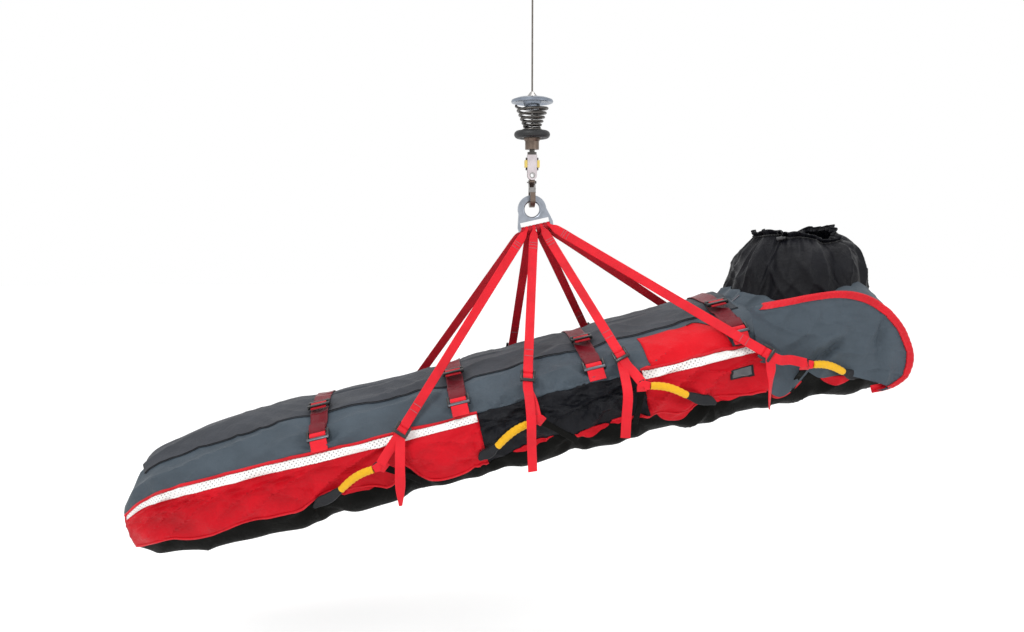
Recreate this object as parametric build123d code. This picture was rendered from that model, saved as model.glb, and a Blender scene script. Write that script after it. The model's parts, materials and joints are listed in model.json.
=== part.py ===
"""Helicopter rescue stretcher bag, hung by its eight-leg sling from a hoist hook.

Millimetres, +Z up. The origin is the centre of the eye that holds the hoist wire.
+X runs along the bag from foot to head, and -Y is called the near side.
The bag has axes of its own: u along it, v across it and w up through it.
"""
from math import cos, pi, radians, sin

from build123d import *
import os

# ---- driving dimensions ----------------------------------------------------
LINK_DROP = 650.0          # eye to the centre of the master link's hole
BAG_DROP = LINK_DROP + 530.0
TILT = 12.5                # the bag hangs head up by this many degrees
FABRIC = 4.0               # coated fabric with its lining
WEB = 2.6                  # sling webbing thickness
SLING_WIDTH = 25.0
STRAP_HALF = 23.0          # half the width of a compression strap
WIRE_R = 2.5
SHANK_R = 3.2
GATE_PIN_R = 2.0
HOOK_PIN_R = 7.95
RUN_FIT = 0.06             # radial clearance of turning and sliding fits

# Bag stations: (u, half width, bottom, top). The top is straight over the zip's travel.
STATIONS = [
    (-1160.0, 108.0, -150.0, -10.0),
    (-1100.0, 148.0, -174.0, 55.0),
    (-980.0, 190.0, -186.0, 96.0),
    (-800.0, 222.0, -188.0, 115.0),
    (-450.0, 248.0, -164.0, 114.0),
    (-100.0, 266.0, -152.0, 124.0),
    (250.0, 276.0, -148.0, 134.0),
    (600.0, 280.0, -158.0, 144.0),
]
# The head end is open on top, so its sides rise nearly straight to their bound edge.
HEAD_STATIONS = [
    (600.0, 270.0, -158.0, 156.0),
    (812.0, 268.0, -164.0, 139.0),
    (863.0, 266.0, -165.0, 127.0),
    (914.0, 264.0, -162.0, 102.0),
    (960.0, 262.0, -152.0, 64.0),
    (990.0, 260.0, -138.0, 20.0),
    (1010.0, 258.0, -116.0, -20.0),
]
# Rails of the section: fraction of the half width, fraction of the height.
RAILS = [(0, 0), (0.45, 0), (0.80, 0.05), (0.94, 0.25), (1.0, 0.48), (0.985, 0.60),
         (0.95, 0.71), (0.80, 0.86), (0.52, 0.955), (0.26, 0.993), (0, 1.0)]
HEAD_RAILS = [(0, 0), (0.45, 0), (0.80, 0.05), (0.94, 0.25), (1.0, 0.48), (1.0, 0.60),
              (0.99, 0.72), (0.97, 0.86), (0.94, 1.0)]
SEAM, TAPE_LOW, TAPE_TOP, STRAP_END, FLAP_EDGE, CREST = 3, 5, 6, 7, 8, 10
BODY_ENDS = (-1160.0, 600.0)
RED_PANELS = [(-1160.0, -165.0), (275.0, 600.0)]
MESH_PANEL = (-165.0, 275.0)

# Sling: buckle and loop apex of each leg, and the carrying loop's ends, in (u, w).
LEG_BUCKLES = [(-351.0, 55.0), (-11.0, 112.0), (229.0, 114.0), (585.0, 40.0)]
LOOP_APEX = [(-432.0, -22.0), (-20.0, 6.0), (262.0, 30.0), (692.0, -18.0)]
LOOP_ENDS = [((-635.0, -108.0), (-318.0, -104.0)), ((-185.0, -78.0), (72.0, -88.0)),
             ((232.0, -84.0), (452.0, -76.0)), ((640.0, -88.0), (858.0, -104.0))]
GRIP_ON_FOOT_SIDE = [True, True, False, False]
BUCKLE_STAND_OFF = [38.0, 85.0, 82.0, 35.0]
APEX_STAND_OFF = 44.0
LOOP_END_STAND_OFF = 11.0
TAIL_LENGTHS = [180.0, 222.0, 196.0, 140.0]
GRIP_LENGTH = 108.0
STRAPS_U = [-580.0, -205.0, 160.0, 552.0]

# Hoist gear heights above the link's hole centre.
PIN_Z = 95.0
BOWL_Z = 36.2
HOOK_INNER = 17.0
HOOK_OUTER = 31.0
HOOK_HALF = 7.0
EYE_R = 12.4
LINK_HOLE_R = 21.0
LINK_HALF = 9.0
POST_HALF = 7.2
SLOT_HALF = 42.0
BAR_Z = -52.0
BAR_R = 6.0
FOOT_Z = BAR_Z - 7.5
SPRING_FOOT = 224.0
SPRING_HEAD = 290.0
SPRING_TURNS = 5.5
SPRING_WIRE_R = 3.6

os.makedirs("parts", exist_ok=True)
BAG = Pos(0, 0, -BAG_DROP) * Rot(0, -TILT, 0)
LINK = Pos(0, 0, -LINK_DROP)


# ---- small helpers -----------------------------------------------------------
def save(name, *solids):
    """Write one node; several solids are separate like pieces."""
    shape = solids[0] if len(solids) == 1 else Compound(children=list(solids))
    export_step(shape, f"parts/{name}.step")


def ring_loft(rings):
    """A solid ruled through closed planar polygons."""
    wires = [Wire.make_polygon([Vector(*p) for p in ring], close=True) for ring in rings]
    return Solid.make_loft(wires, ruled=True)


def mix(a, b, t):
    return tuple(x + (y - x) * t for x, y in zip(a, b))


def station(table, u):
    """Half width, bottom and top of the bag at u."""
    for low, high in zip(table, table[1:]):
        if u <= high[0]:
            return mix(low, high, (u - low[0]) / (high[0] - low[0]))[1:]
    return table[-1][1:]


def rail_fraction(rails, i):
    k = min(int(abs(i)), len(rails) - 2)
    return mix(rails[k], rails[k + 1], abs(i) - k)


def skin(u, i, out=0.0, table=None, rails=None):
    """A point of the bag's skin on rail i (negative on the near side), moved out."""
    half, low, high = station(table or STATIONS, u)
    across, up = rail_fraction(rails or RAILS, i)
    side = -1 if i < 0 else 1
    low, high = low - out, high + out
    return (u, side * across * (half + out), low + up * (high - low))


def cuts(table, u0, u1):
    return [u0] + [s[0] for s in table if u0 < s[0] < u1] + [u1]


def strip(u0, u1, rails_used, inner, outer, table=None, rails=None):
    """A band of skin between two rails. inner and outer are offsets, or lists of them."""
    n = len(rails_used)
    ins = inner if isinstance(inner, list) else [inner] * n
    outs = outer if isinstance(outer, list) else [outer] * n
    rings = []
    for u in cuts(table or STATIONS, u0, u1):
        top = [skin(u, i, d, table, rails) for i, d in zip(rails_used, outs)]
        back = [skin(u, i, d, table, rails) for i, d in zip(rails_used, ins)]
        rings.append(top + back[::-1])
    return ring_loft(rings)


def pair(solid):
    """A near-side solid and its far-side twin."""
    return [solid, solid.mirror(Plane.XZ)]


def side_point(u, w, out, table=None, rails=None):
    """The near skin at height w, moved out across the bag."""
    half, low, high = station(table or STATIONS, u)
    used = rails or RAILS
    h = (w - low) / (high - low)
    for a, b in zip(used[2:], used[3:]):
        if h <= b[1]:
            across = a[0] + (b[0] - a[0]) * (h - a[1]) / (b[1] - a[1])
            break
    return Vector(u, -(across * half + out), w)


def near_side(u, w, out):
    if u > BODY_ENDS[1]:
        return side_point(u, w, out, HEAD_STATIONS, HEAD_RAILS)
    return side_point(u, w, out)


def ribbon(points, widths, thickness, normals):
    """A strap through points; each section is square to the path, its face to the normal."""
    rings = []
    for k, p in enumerate(points):
        before = points[max(k - 1, 0)]
        after = points[min(k + 1, len(points) - 1)]
        run = (after - before).normalized()
        across = normals[k].cross(run).normalized()
        out = run.cross(across).normalized()
        a, n = across * (widths[k] / 2), out * (thickness[k] / 2)
        rings.append([tuple(p - a - n), tuple(p + a - n), tuple(p + a + n), tuple(p - a + n)])
    return ring_loft(rings)


def tube_between(start, end, outer, inner):
    axis = Plane(origin=start, z_dir=end - start)
    length = (end - start).length
    solid = Cylinder(outer, length, align=(Align.CENTER, Align.CENTER, Align.MIN))
    solid -= Cylinder(inner, length, align=(Align.CENTER, Align.CENTER, Align.MIN))
    return axis * solid


def place(origin, along, normal):
    """A plane with X along the bars, Z out of the strap's face."""
    return Plane(origin=origin, x_dir=along, z_dir=normal)


def ladder_lock(half_width, pitch):
    """Three bars in a frame: X along the bars, Y along the strap, Z out."""
    frame = Box(2 * half_width + 8, 2 * pitch + 5, 4)
    for y in (-pitch / 2, pitch / 2):
        frame -= Pos(0, y, 0) * Box(2 * half_width + 2, pitch - 5, 4)
    return frame


def turned(points):
    """A solid of revolution about Z from (r, z) points."""
    return revolve(Plane.XZ * make_face(Polyline(*points, close=True)), Axis.Z)


# ---- hoist wire, bumper and swivel --------------------------------------------
def hoist_top_eye():
    ring = Rot(90, 0, 0) * (Cylinder(17, 12) - Cylinder(10, 12))
    socket = Pos(0, 0, -36) * Cylinder(7.5, 42) - Pos(0, 0, -42) * Cylinder(WIRE_R + 0.05, 30)
    return ring + socket - Rot(90, 0, 0) * Cylinder(10, 12)


def hoist_wire_rope():
    top, foot = -27.0, -LINK_DROP + 325.0
    return Pos(0, 0, (top + foot) / 2) * Cylinder(WIRE_R, top - foot)


def wire_end_terminal():
    """The swaged end: a shank through the bumper, with a ball seated in the housing."""
    shank = LINK * Pos(0, 0, 265) * Cylinder(SHANK_R, 120)
    return shank + LINK * Pos(0, 0, 203) * Sphere(9)


def bumper_cone():
    return LINK * turned([(SHANK_R + 0.4, 325), (5, 325), (16, 311.5), (SHANK_R + 0.4, 311.5)])


def bumper_disc():
    bore = SHANK_R + RUN_FIT
    rim = [(bore, 311.5), (20, 311.5), (44, 308), (57, 303), (59, 299), (57.5, 295), (52, 294),
           (42, 298), (26, 299), (24, 292), (18, 278), (bore, 278)]
    return LINK * turned(rim)


def bumper_spring():
    """A cone of spring wire, wound by a helix between its two radii."""
    height = SPRING_HEAD - SPRING_FOOT - 2 * SPRING_WIRE_R
    foot_r, growth, steps = 21.0, 24.0, 22
    points = []
    for k in range(int(SPRING_TURNS * steps) + 1):
        t = k / (SPRING_TURNS * steps)
        r = foot_r + growth * t ** 1.15
        angle = 2 * pi * SPRING_TURNS * t
        points.append(Vector(r * cos(angle), r * sin(angle), height * t ** 1.2))
    path = Spline(*points)
    section = Plane(origin=path @ 0, z_dir=path % 0) * Circle(SPRING_WIRE_R)
    wound = sweep(section, path=path, is_frenet=True)
    return LINK * Pos(0, 0, SPRING_FOOT + SPRING_WIRE_R) * wound


def hand_ring_hub():
    """The metal core of the hand ring, with a seat for the spring and the ball's socket."""
    return LINK * turned([(3.4, 223.5), (27, 223.5), (28, 218), (28, 199.5), (9.4, 199.5),
                          (9.4, 213), (3.4, 213)])


def rubber_hand_ring():
    ring = Torus(39.5, 11) - Cylinder(28.05, 30)
    return LINK * Pos(0, 0, 208) * ring


def swivel_housing():
    bore = 7.5 + RUN_FIT
    return LINK * turned([(9.4, 199.4), (24, 199.4), (24, 196), (19.5, 189), (19.5, 167),
                          (bore, 167), (bore, 171), (15, 171), (15, 190.5), (9.4, 190.5)])


def thrust_race_upper():
    return LINK * turned([(7.7, 178.6), (14.9, 178.6), (14.9, 180.8), (7.7, 180.8)])


def thrust_race_and_balls():
    race = LINK * turned([(7.7, 171.1), (14.9, 171.1), (14.9, 173.2), (7.7, 173.2)])
    balls = [LINK * Rot(0, 0, 30 * k) * Pos(11.3, 0, 175.9) * Sphere(2.6) for k in range(12)]
    return [race] + balls


def swivel_bolt():
    """Its head bears on the upper race and its shank hangs the block."""
    head = Pos(0, 0, 181) * extrude(RegularPolygon(13.4, 6), 8)
    shank = Pos(0, 0, 166.6) * Cylinder(7.5, 29)
    nut = Pos(0, 0, 152.1) * extrude(RegularPolygon(13, 6), 8)
    return LINK * (head + shank + nut)


def swivel_block():
    """The block, its fork below, and the fork's hollow for the hook's eye."""
    body = Pos(0, 0, 130) * fillet(Box(27.6, 24, 44).edges().filter_by(Axis.Z), 4)
    fork = Pos(0, 0, PIN_Z + 6) * Box(26, 24, 14) + Pos(0, 0, PIN_Z) * Rot(90, 0, 0) * Cylinder(13, 24)
    fork -= Pos(0, 0, PIN_Z - 1) * Box(40, 10.6, 27)
    return LINK * (body + fork - Pos(0, 0, PIN_Z) * Rot(90, 0, 0) * Cylinder(HOOK_PIN_R + 0.02, 40))


def block_cheeks():
    return [LINK * Pos(side * 17.4, 0, 127) * Box(7, 18, 20) for side in (-1, 1)]


def cheek_bolts():
    return [LINK * Pos(side * 15.9, 0, z) * Rot(0, 90, 0) * Cylinder(3.6, 4)
            for side in (-1, 1) for z in (112.8, 141.2)]


def hook_pin():
    tube = Cylinder(HOOK_PIN_R, 25) - Cylinder(5.4, 25)
    return LINK * Pos(0, 0, PIN_Z) * Rot(90, 0, 0) * tube


# ---- hook, gate and master link ---------------------------------------------------
GATE_PIVOT = (5.0, 76.0)   # (y, z) above the link's hole centre
GATE_TIP = (-10.4, 47.0)


def hoist_hook():
    """A forged hook in the YZ plane: eye, neck, back, bowl and tip."""
    bowl = Pos(0, BOWL_Z) * (Circle(HOOK_OUTER) - Circle(HOOK_INNER))
    throat = Pos(-19, BOWL_Z + 28) * Rectangle(62, 34)
    back = make_face(Polyline((2, 95), (12, 90), (24, 70), (31, BOWL_Z), (17, BOWL_Z),
                              (12, 60), (4, 70), (-9, 76), (-12, 92), close=True))
    forged = extrude(Plane.YZ * (bowl - throat + back), HOOK_HALF, both=True)
    slim = Pos(0, 0, PIN_Z + 4) * (Box(40, 60, 40) - Box(40, 10, 40))
    at_pin = Pos(0, 0, PIN_Z) * Rot(90, 0, 0)
    eye = at_pin * Cylinder(EYE_R, 10)
    bore = at_pin * Cylinder(HOOK_PIN_R + RUN_FIT, 40)
    gate_hole = Pos(0, *GATE_PIVOT) * Rot(0, 90, 0) * Cylinder(GATE_PIN_R + 0.05, 40)
    return LINK * (forged - slim + eye - bore - gate_hole)


def gate_direction():
    run = Vector(0, GATE_TIP[0] - GATE_PIVOT[0], GATE_TIP[1] - GATE_PIVOT[1])
    return run.length, run.normalized()


def hook_gate():
    """Two ears on the pin and a bar that closes on the inside of the tip."""
    length, run = gate_direction()
    plane = Plane(origin=(0, *GATE_PIVOT), x_dir=(1, 0, 0), z_dir=run)
    ears = [Pos(side * 8.6, 0, 9) * Box(2.4, 10, 26) for side in (-1, 1)]
    bar = Pos(0, 0, (length + 17) / 2) * Box(19.6, 3, length - 17)
    gate = ears[0] + ears[1] + bar - Rot(0, 90, 0) * Cylinder(GATE_PIN_R + RUN_FIT, 40)
    return LINK * (plane * gate)


def gate_pin():
    return LINK * Pos(0, *GATE_PIVOT) * Rot(0, 90, 0) * Cylinder(GATE_PIN_R, 27)


def gate_spring():
    """A torsion coil on the pin, outside the ear."""
    coils = Cylinder(4.2, 2.8) - Cylinder(GATE_PIN_R + 0.1, 2.8)
    return LINK * Pos(11.4, *GATE_PIVOT) * Rot(0, 90, 0) * coils


def master_link_plate():
    """An arched plate with the hook's hole and a slot whose lower bar holds the legs."""
    arch = Circle(40) + Pos(0, -26) * Rectangle(80, 52)
    foot = make_face(Polyline((-40, -5), (40, -5), (51, -44), (50, BAR_Z - 3), (44, FOOT_Z),
                              (-44, FOOT_Z), (-50, BAR_Z - 3), (-51, -44), close=True))
    outline = arch + foot
    slot_top = -31.0
    slot = Pos(0, (slot_top + BAR_Z - 20) / 2) * Rectangle(2 * SLOT_HALF, slot_top - BAR_Z + 20)
    plate = extrude(Plane.XZ * (outline - Circle(LINK_HOLE_R) - slot), LINK_HALF, both=True)
    rims = plate.edges().filter_by(GeomType.CIRCLE)
    plate = fillet([rim for rim in rims if abs(rim.radius - LINK_HOLE_R) < 0.1], 6.5)
    for side in (-1, 1):
        plate -= Pos(0, side * (POST_HALF + 10), slot_top - 30) * Box(140, 20, 60)
    bar = Pos(0, 0, BAR_Z) * Rot(0, 90, 0) * Cylinder(BAR_R, 2 * SLOT_HALF + 8)
    return LINK * Rot(0, -TILT, 0) * (plate + bar)


# ---- sling ------------------------------------------------------------------------
TO_BAG = BAG.inverse()


def bar_point(index):
    """Where one of the eight leg loops sits on the link's bar, in bag axes."""
    x = (index - 3.5) * (2 * SLOT_HALF / 8)
    spot = LINK * Rot(0, -TILT, 0) * Pos(x, 0, BAR_Z)
    return (TO_BAG * spot).position


def flip(v, far):
    return Vector(v.X, -v.Y, v.Z) if far else v


def leg_frame(k, far):
    """Start, run, face normal and bar direction of leg k."""
    start = bar_point(2 * k + (0 if far else 1))
    u, w = LEG_BUCKLES[k]
    buckle = flip(near_side(u, w, BUCKLE_STAND_OFF[k]), far)
    run = (buckle - start).normalized()
    normal = flip(Vector(0, -1, 0), far)
    across = normal.cross(run).normalized()
    face = run.cross(across).normalized()
    return start, buckle, run, face, across


def web_loop(centre, across, width, inner):
    half = across * (width / 2)
    return tube_between(centre - half, centre + half, inner + WEB, inner)


def sling_leg(k, far):
    """One leg: a narrow loop on the link's bar, a flat run, a loop in its buckle."""
    start, buckle, run, face, across = leg_frame(k, far)
    spacing = 2 * SLOT_HALF / 8
    bar = Vector(1, 0, 0)
    inner = BAR_R + 0.3
    outward = Vector(0, 1 if far else -1, 0)
    top = start + outward * (inner + WEB / 2)
    clear = start + outward * 14 + Vector(0, 0, -12)
    wide = start + run * 90
    foot = buckle - run * (3.5 + WEB / 2)
    narrow = spacing - 2.0
    neck = ribbon([top, clear + (clear - top).normalized()], [narrow] * 2, [WEB, WEB * 2], [outward] * 2)
    strap = neck + ribbon([clear, wide, foot], [narrow, SLING_WIDTH, SLING_WIDTH],
                          [WEB * 2, WEB, WEB], [outward, face, face])
    upper = web_loop(start, bar, narrow, inner)
    lower = web_loop(buckle, across, SLING_WIDTH, 3.5)
    return strap + upper + lower


LOCK_PITCH = 13.0


def leg_buckle(k, far):
    """A ladder lock; the leg holds its first bar and the adjuster its last."""
    _, buckle, run, face, across = leg_frame(k, far)
    centre = buckle + run * LOCK_PITCH
    return place(centre, across, face) * ladder_lock(SLING_WIDTH / 2 + 1, LOCK_PITCH)


def adjuster(k, far):
    """From the buckle's last bar to the apex of the carrying loop."""
    _, buckle, run, face, across = leg_frame(k, far)
    hold = buckle + run * (2 * LOCK_PITCH)
    u, w = LOOP_APEX[k]
    apex = flip(near_side(u, w, APEX_STAND_OFF), far)
    down = (apex - hold).normalized()
    normal = flip(Vector(0, -1, 0), far)
    first = hold + run * (3.5 + WEB / 3)
    turn = hold + run * 15
    last = apex + flip(Vector(0, -11, 0), far) - down * 14
    lead = ribbon([first, turn + run], [SLING_WIDTH] * 2, [WEB] * 2, [face] * 2)
    strap = lead + ribbon([turn, last], [SLING_WIDTH] * 2, [WEB] * 2, [face, normal])
    return strap + web_loop(hold, across, SLING_WIDTH, 3.5)


def tail_top(k, far):
    """The hinge line of a free tail, just outside its buckle, in row axes."""
    _, buckle, run, _, _ = leg_frame(k, far)
    spot = buckle + run * (LOCK_PITCH * 1.6)
    world = (BAG * Pos(*spot)).position
    return world + Vector(0, (14 if far else -14), 0)


def strap_tail(k, far):
    """A free webbing end that hangs straight down from its buckle, over the bag's side."""
    top = tail_top(k, far)
    side = 1 if far else -1
    u, w = LOOP_APEX[k]
    clear = side * (abs(near_side(u, w, APEX_STAND_OFF).Y) + 17)
    bend = min(TAIL_LENGTHS[k] * 0.45, 80)
    points = [top, Vector(top.X, clear, top.Z - bend),
              Vector(top.X, clear, top.Z - TAIL_LENGTHS[k])]
    out = Vector(0, side, 0)
    return ribbon(points, [SLING_WIDTH] * 3, [WEB] * 3, [out] * 3)


# ---- carrying loops ---------------------------------------------------------------
def loop_points(k):
    """Near-side points of a carrying loop: foot end, apex, head end."""
    (ua, wa), (ub, wb) = LOOP_ENDS[k]
    u, w = LOOP_APEX[k]
    a = near_side(ua, wa, LOOP_END_STAND_OFF)
    b = near_side(ub, wb, LOOP_END_STAND_OFF)
    apex = near_side(u, w, APEX_STAND_OFF)
    return a, apex, b


def grip_span(k):
    a, apex, b = loop_points(k)
    end = a if GRIP_ON_FOOT_SIDE[k] else b
    run = (end - apex).normalized()
    return apex + run * 22, apex + run * (22 + GRIP_LENGTH), end, apex


def carry_loop(k):
    """Webbing in a V; where the grip is, it is folded narrow inside the tube."""
    near_apex, far_end, end, apex = grip_span(k)
    a, _, b = loop_points(k)
    other = b if GRIP_ON_FOOT_SIDE[k] else a
    out = Vector(0, -1, 0)
    span = (far_end - near_apex).normalized()
    lead = (other - apex).normalized()
    gripped = [near_apex - span * 3, near_apex - span * 1, far_end + span * 1, far_end + span * 14, end]
    grip_leg = ribbon(gripped, [20, 11, 11, SLING_WIDTH, SLING_WIDTH], [4, 6, 6, 4, 3], [out] * 5)
    plain = [near_apex - span * 3, apex + lead * 3, apex + lead * 22, other]
    plain_leg = ribbon(plain, [20, SLING_WIDTH, SLING_WIDTH, SLING_WIDTH], [4, 3, 3, 3], [out] * 4)
    return grip_leg + plain_leg


def carry_grip(k):
    near_apex, far_end, _, _ = grip_span(k)
    return tube_between(near_apex, far_end, 10.5, 7.5)


# ---- bag shell --------------------------------------------------------------------
def base_tub():
    """The black underside, seam to seam, from the foot to the head, with its foot wall."""
    rails = [-3, -2, -1, 0, 1, 2, 3]
    tub = strip(BODY_ENDS[0], BODY_ENDS[1], rails, -FABRIC, 0)
    head = strip(600.0, 960.0, rails, -FABRIC, 0, HEAD_STATIONS, HEAD_RAILS)
    all_round = list(range(-CREST, CREST))
    foot_u = BODY_ENDS[0]
    rings = []
    for shift in (-FABRIC, 0.0):
        rings.append([(foot_u + shift, *skin(foot_u, i)[1:]) for i in all_round])
    return tub + head + ring_loft(rings)


def side_panels(spans):
    rails = [-SEAM, -4, -TAPE_LOW, -TAPE_TOP]
    made = []
    for u0, u1 in spans:
        made += pair(strip(u0, u1, rails, -FABRIC, 0))
    return made


def top_panels():
    """The slate upper sides, from the tape to the zip."""
    zip_edge = -(CREST - 0.13)
    rails = [-TAPE_TOP, -STRAP_END, -FLAP_EDGE, -9, zip_edge]
    return pair(strip(BODY_ENDS[0], BODY_ENDS[1], rails, -FABRIC, 0))


def head_side_panels():
    rails = [-SEAM, -4, -5, -6, -7, -8]
    return pair(strip(600.0, 1010.0, rails, -FABRIC, 0, HEAD_STATIONS, HEAD_RAILS))


def head_outline(out):
    """The head's end seen from the side: over the top, round, and back underneath."""
    top = [(s[0], s[3] + out) for s in HEAD_STATIONS if s[0] > 900]
    low = [(s[0], s[2] - out) for s in reversed(HEAD_STATIONS) if s[0] > 955]
    nose = [(HEAD_STATIONS[-1][0] + 10 + out, -68.0)]
    return top, nose, low


def head_end_panel():
    """The end wall between the two head sides, crowned outwards in the middle."""
    rings = []
    for v, crown in ((-236.0, 0.0), (-150.0, 26.0), (0.0, 40.0), (150.0, 26.0), (236.0, 0.0)):
        ring = []
        for out, order in ((-1.0, 1), (-1.0 - FABRIC, -1)):
            top, nose, low = head_outline(out)
            path = (top + nose + low)[::order]
            for u, w in path:
                reach = max(0.0, (u - 860.0) / 160.0)
                ring.append((u + crown * reach + out * 0.5, v, w))
        rings.append(ring)
    return ring_loft(rings)


def mattress():
    """The vacuum mattress that lies in the tub."""
    rings = []
    for u in (-1090.0, -980.0, -800.0, -450.0, -100.0, 250.0, 600.0, 930.0):
        table = STATIONS if u <= 600 else HEAD_STATIONS
        half, low, _ = station(table, u)
        inner = half * 0.78 - 12
        foot, roof = low + 26, low + 68
        rings.append([(u, -inner, foot), (u, inner, foot), (u, inner + 10, foot + 20),
                      (u, inner, roof), (u, -inner, roof), (u, -inner - 10, foot + 20)])
    return ring_loft(rings)


def stiffener_board():
    """A thin board between the tub and the mattress."""
    rings = []
    for u in (-1060.0, -980.0, -800.0, -450.0, -100.0, 250.0, 600.0, 900.0):
        table = STATIONS if u <= 600 else HEAD_STATIONS
        half, low, _ = station(table, u)
        inner, foot = half * 0.62, low + 14
        rings.append([(u, -inner, foot), (u, inner, foot), (u, inner, foot + 8), (u, -inner, foot + 8)])
    return ring_loft(rings)


# ---- zip and its flap ---------------------------------------------------------------
ZIP_HALF = 3.6
SLIDER_U = 545.0


def crest_w(u):
    return station(STATIONS, u)[2]


def zip_chain():
    """Closed teeth with the tape each side, along the crest."""
    teeth, tape = [], []
    for u in cuts(STATIONS, -1090.0, 585.0):
        w = crest_w(u)
        teeth.append([(u, -ZIP_HALF, w - 3), (u, ZIP_HALF, w - 3), (u, ZIP_HALF, w), (u, -ZIP_HALF, w)])
        half = 0.26 * 0.13 * station(STATIONS, u)[0] - 0.1
        tape.append([(u, -half, w - 2.4), (u, half, w - 2.4), (u, half, w - 1.2), (u, -half, w - 1.2)])
    return ring_loft(teeth) + ring_loft(tape)


def crest_frame(u):
    """A frame on the crest: X towards the head, Z out of the bag."""
    rise = Vector(600.0 + 450.0, 0, crest_w(600.0) - crest_w(-450.0)).normalized()
    normal = rise.cross(Vector(0, 1, 0)).normalized()
    return Plane(origin=(u, 0, crest_w(u)), x_dir=rise, z_dir=normal)


def zip_slider():
    """The slider's upper half with the lug for its pull."""
    plate = Pos(0, 0, 1.9) * fillet(Box(16, 11, 3).edges().filter_by(Axis.Z), 3)
    lug = Pos(2, 0, 5.4) * (Box(8, 2.4, 4) - Rot(90, 0, 0) * Cylinder(1.1, 4))
    return crest_frame(SLIDER_U) * (plate + lug)


def zip_pull():
    """A flat pull that lies back along the chain, in a fork on the lug."""
    arms = [Pos(0.5, side * 2.1, 5.4) * Box(7, 1.2, 2.4) for side in (-1, 1)]
    tab = Pos(-16.4, 0, 5.4) * Box(27.2, 7, 2.0) - Pos(-26, 0, 5.4) * Cylinder(2, 4)
    pin = Pos(2, 0, 5.4) * Rot(90, 0, 0) * Cylinder(1.04, 5.4)
    return crest_frame(SLIDER_U) * (arms[0] + arms[1] + tab + pin)


FLAP_RISE = [1.5, 10.0, 17.0, 10.0, 1.5]


def zip_flap():
    """The charcoal storm flap over the zip."""
    rails = [-FLAP_EDGE, -9, -CREST, 9, FLAP_EDGE]
    top = [d + 2.5 for d in FLAP_RISE]
    return strip(-1090.0, 590.0, rails, FLAP_RISE, top)


# ---- compression straps ---------------------------------------------------------------
def compression_strap(u):
    """One band over the top, above the flap, down to the buckle on each side."""
    rails = [-7.15, -FLAP_EDGE, -9, -CREST, 9, FLAP_EDGE, 7.15]
    inner = [2.0, 6.0, 14.5, 21.5, 14.5, 6.0, 2.0]
    return strip(u - STRAP_HALF, u + STRAP_HALF, rails, inner, [d + 2.2 for d in inner])


def strap_frame(u, rail):
    """On the near skin: X along the bag, Y up the strap, Z out."""
    low = Vector(*skin(u, -(rail - 0.3)))
    high = Vector(*skin(u, -(rail + 0.3)))
    spot = Vector(*skin(u, -rail))
    up = (high - low).normalized()
    return Plane(origin=spot, x_dir=(1, 0, 0), z_dir=Vector(1, 0, 0).cross(up))


LOCK_OUT = 8.0


def lower_lock(u):
    lock = strap_frame(u, 6.75) * (Pos(0, 0, LOCK_OUT) * ladder_lock(STRAP_HALF + 1, LOCK_PITCH))
    return lock


def upper_lock(u):
    frame = strap_frame(u, 8.45)
    return frame * (Pos(0, 0, 18.5) * ladder_lock(STRAP_HALF + 1, LOCK_PITCH))


def strap_tab(u):
    """The sewn tab below a lower buckle, looped round its last bar."""
    frame = strap_frame(u, 6.75)
    bar = Pos(0, -LOCK_PITCH, LOCK_OUT) * Rot(0, 90, 0)
    loop = bar * (Cylinder(3.5 + WEB, 2 * STRAP_HALF - 1) - Cylinder(3.5, 2 * STRAP_HALF - 1))
    sewn = Pos(0, -LOCK_PITCH - 16, 2.2) * Box(2 * STRAP_HALF - 1, 30, 2.4)
    bridge = Pos(0, -LOCK_PITCH - 4.6, 4.4) * Box(2 * STRAP_HALF - 1, 2.4, 6)
    return frame * (loop + sewn + bridge)


# ---- trim -----------------------------------------------------------------------------
def reflective_tapes():
    made = []
    for u0, u1 in ((-1150.0, -167.0), (277.0, 598.0)):
        made += pair(strip(u0, u1, [-5.1, -5.95], 0.2, 1.6))
    return made


def red_binding():
    """The bound edge of each head side, over the top and round the end."""
    top, nose, low = head_outline(-7.0)
    lead = [(604.0, 149.0), (740.0, 138.0), (812.0, 132.0)]
    path = lead + top + nose + low + [(930.0, -150.0)]
    points = [Vector(u, -274.0, w) for u, w in path]
    n = len(points)
    edge = ribbon(points, [18.0] * n, [3.0] * n, [Vector(0, -1, 0)] * n)
    return pair(edge)


def side_patch(u0, u1, w0, w1, inner, outer):
    """A flat sewn piece on the near side."""
    rings = []
    for u in (u0, u1):
        a, b = near_side(u, w0, 0), near_side(u, w1, 0)
        rings.append([(u, a.Y - inner, w0), (u, b.Y - inner, w1), (u, b.Y - outer, w1),
                      (u, a.Y - outer, w0)])
    return ring_loft(rings)


def upper_pocket():
    """The red pocket above the tape, near side."""
    return strip(305.0, 524.0, [-6.05, -6.5, -7.0, -7.6], 0.6, 3.2)


# ---- head collar ------------------------------------------------------------------------
COLLAR_U = 842.0
RIM_W = 276.0
RIM_R = 122.0
COLLAR_FOOT = 108.0
COLLAR = [(COLLAR_FOOT, 176.0, 212.0), (150.0, 198.0, 224.0), (205.0, 190.0, 208.0),
          (250.0, 156.0, 164.0), (RIM_W, RIM_R, RIM_R)]
COLLAR_SIDES = 20


def collar_ring(w, half_u, half_v, shrink):
    ring = []
    shift = 20 * (w - RIM_W) / (RIM_W - COLLAR_FOOT)
    for k in range(COLLAR_SIDES):
        angle = 2 * pi * k / COLLAR_SIDES
        ring.append((COLLAR_U + shift + (half_u - shrink) * cos(angle),
                     (half_v - shrink) * sin(angle), w))
    return ring


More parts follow.
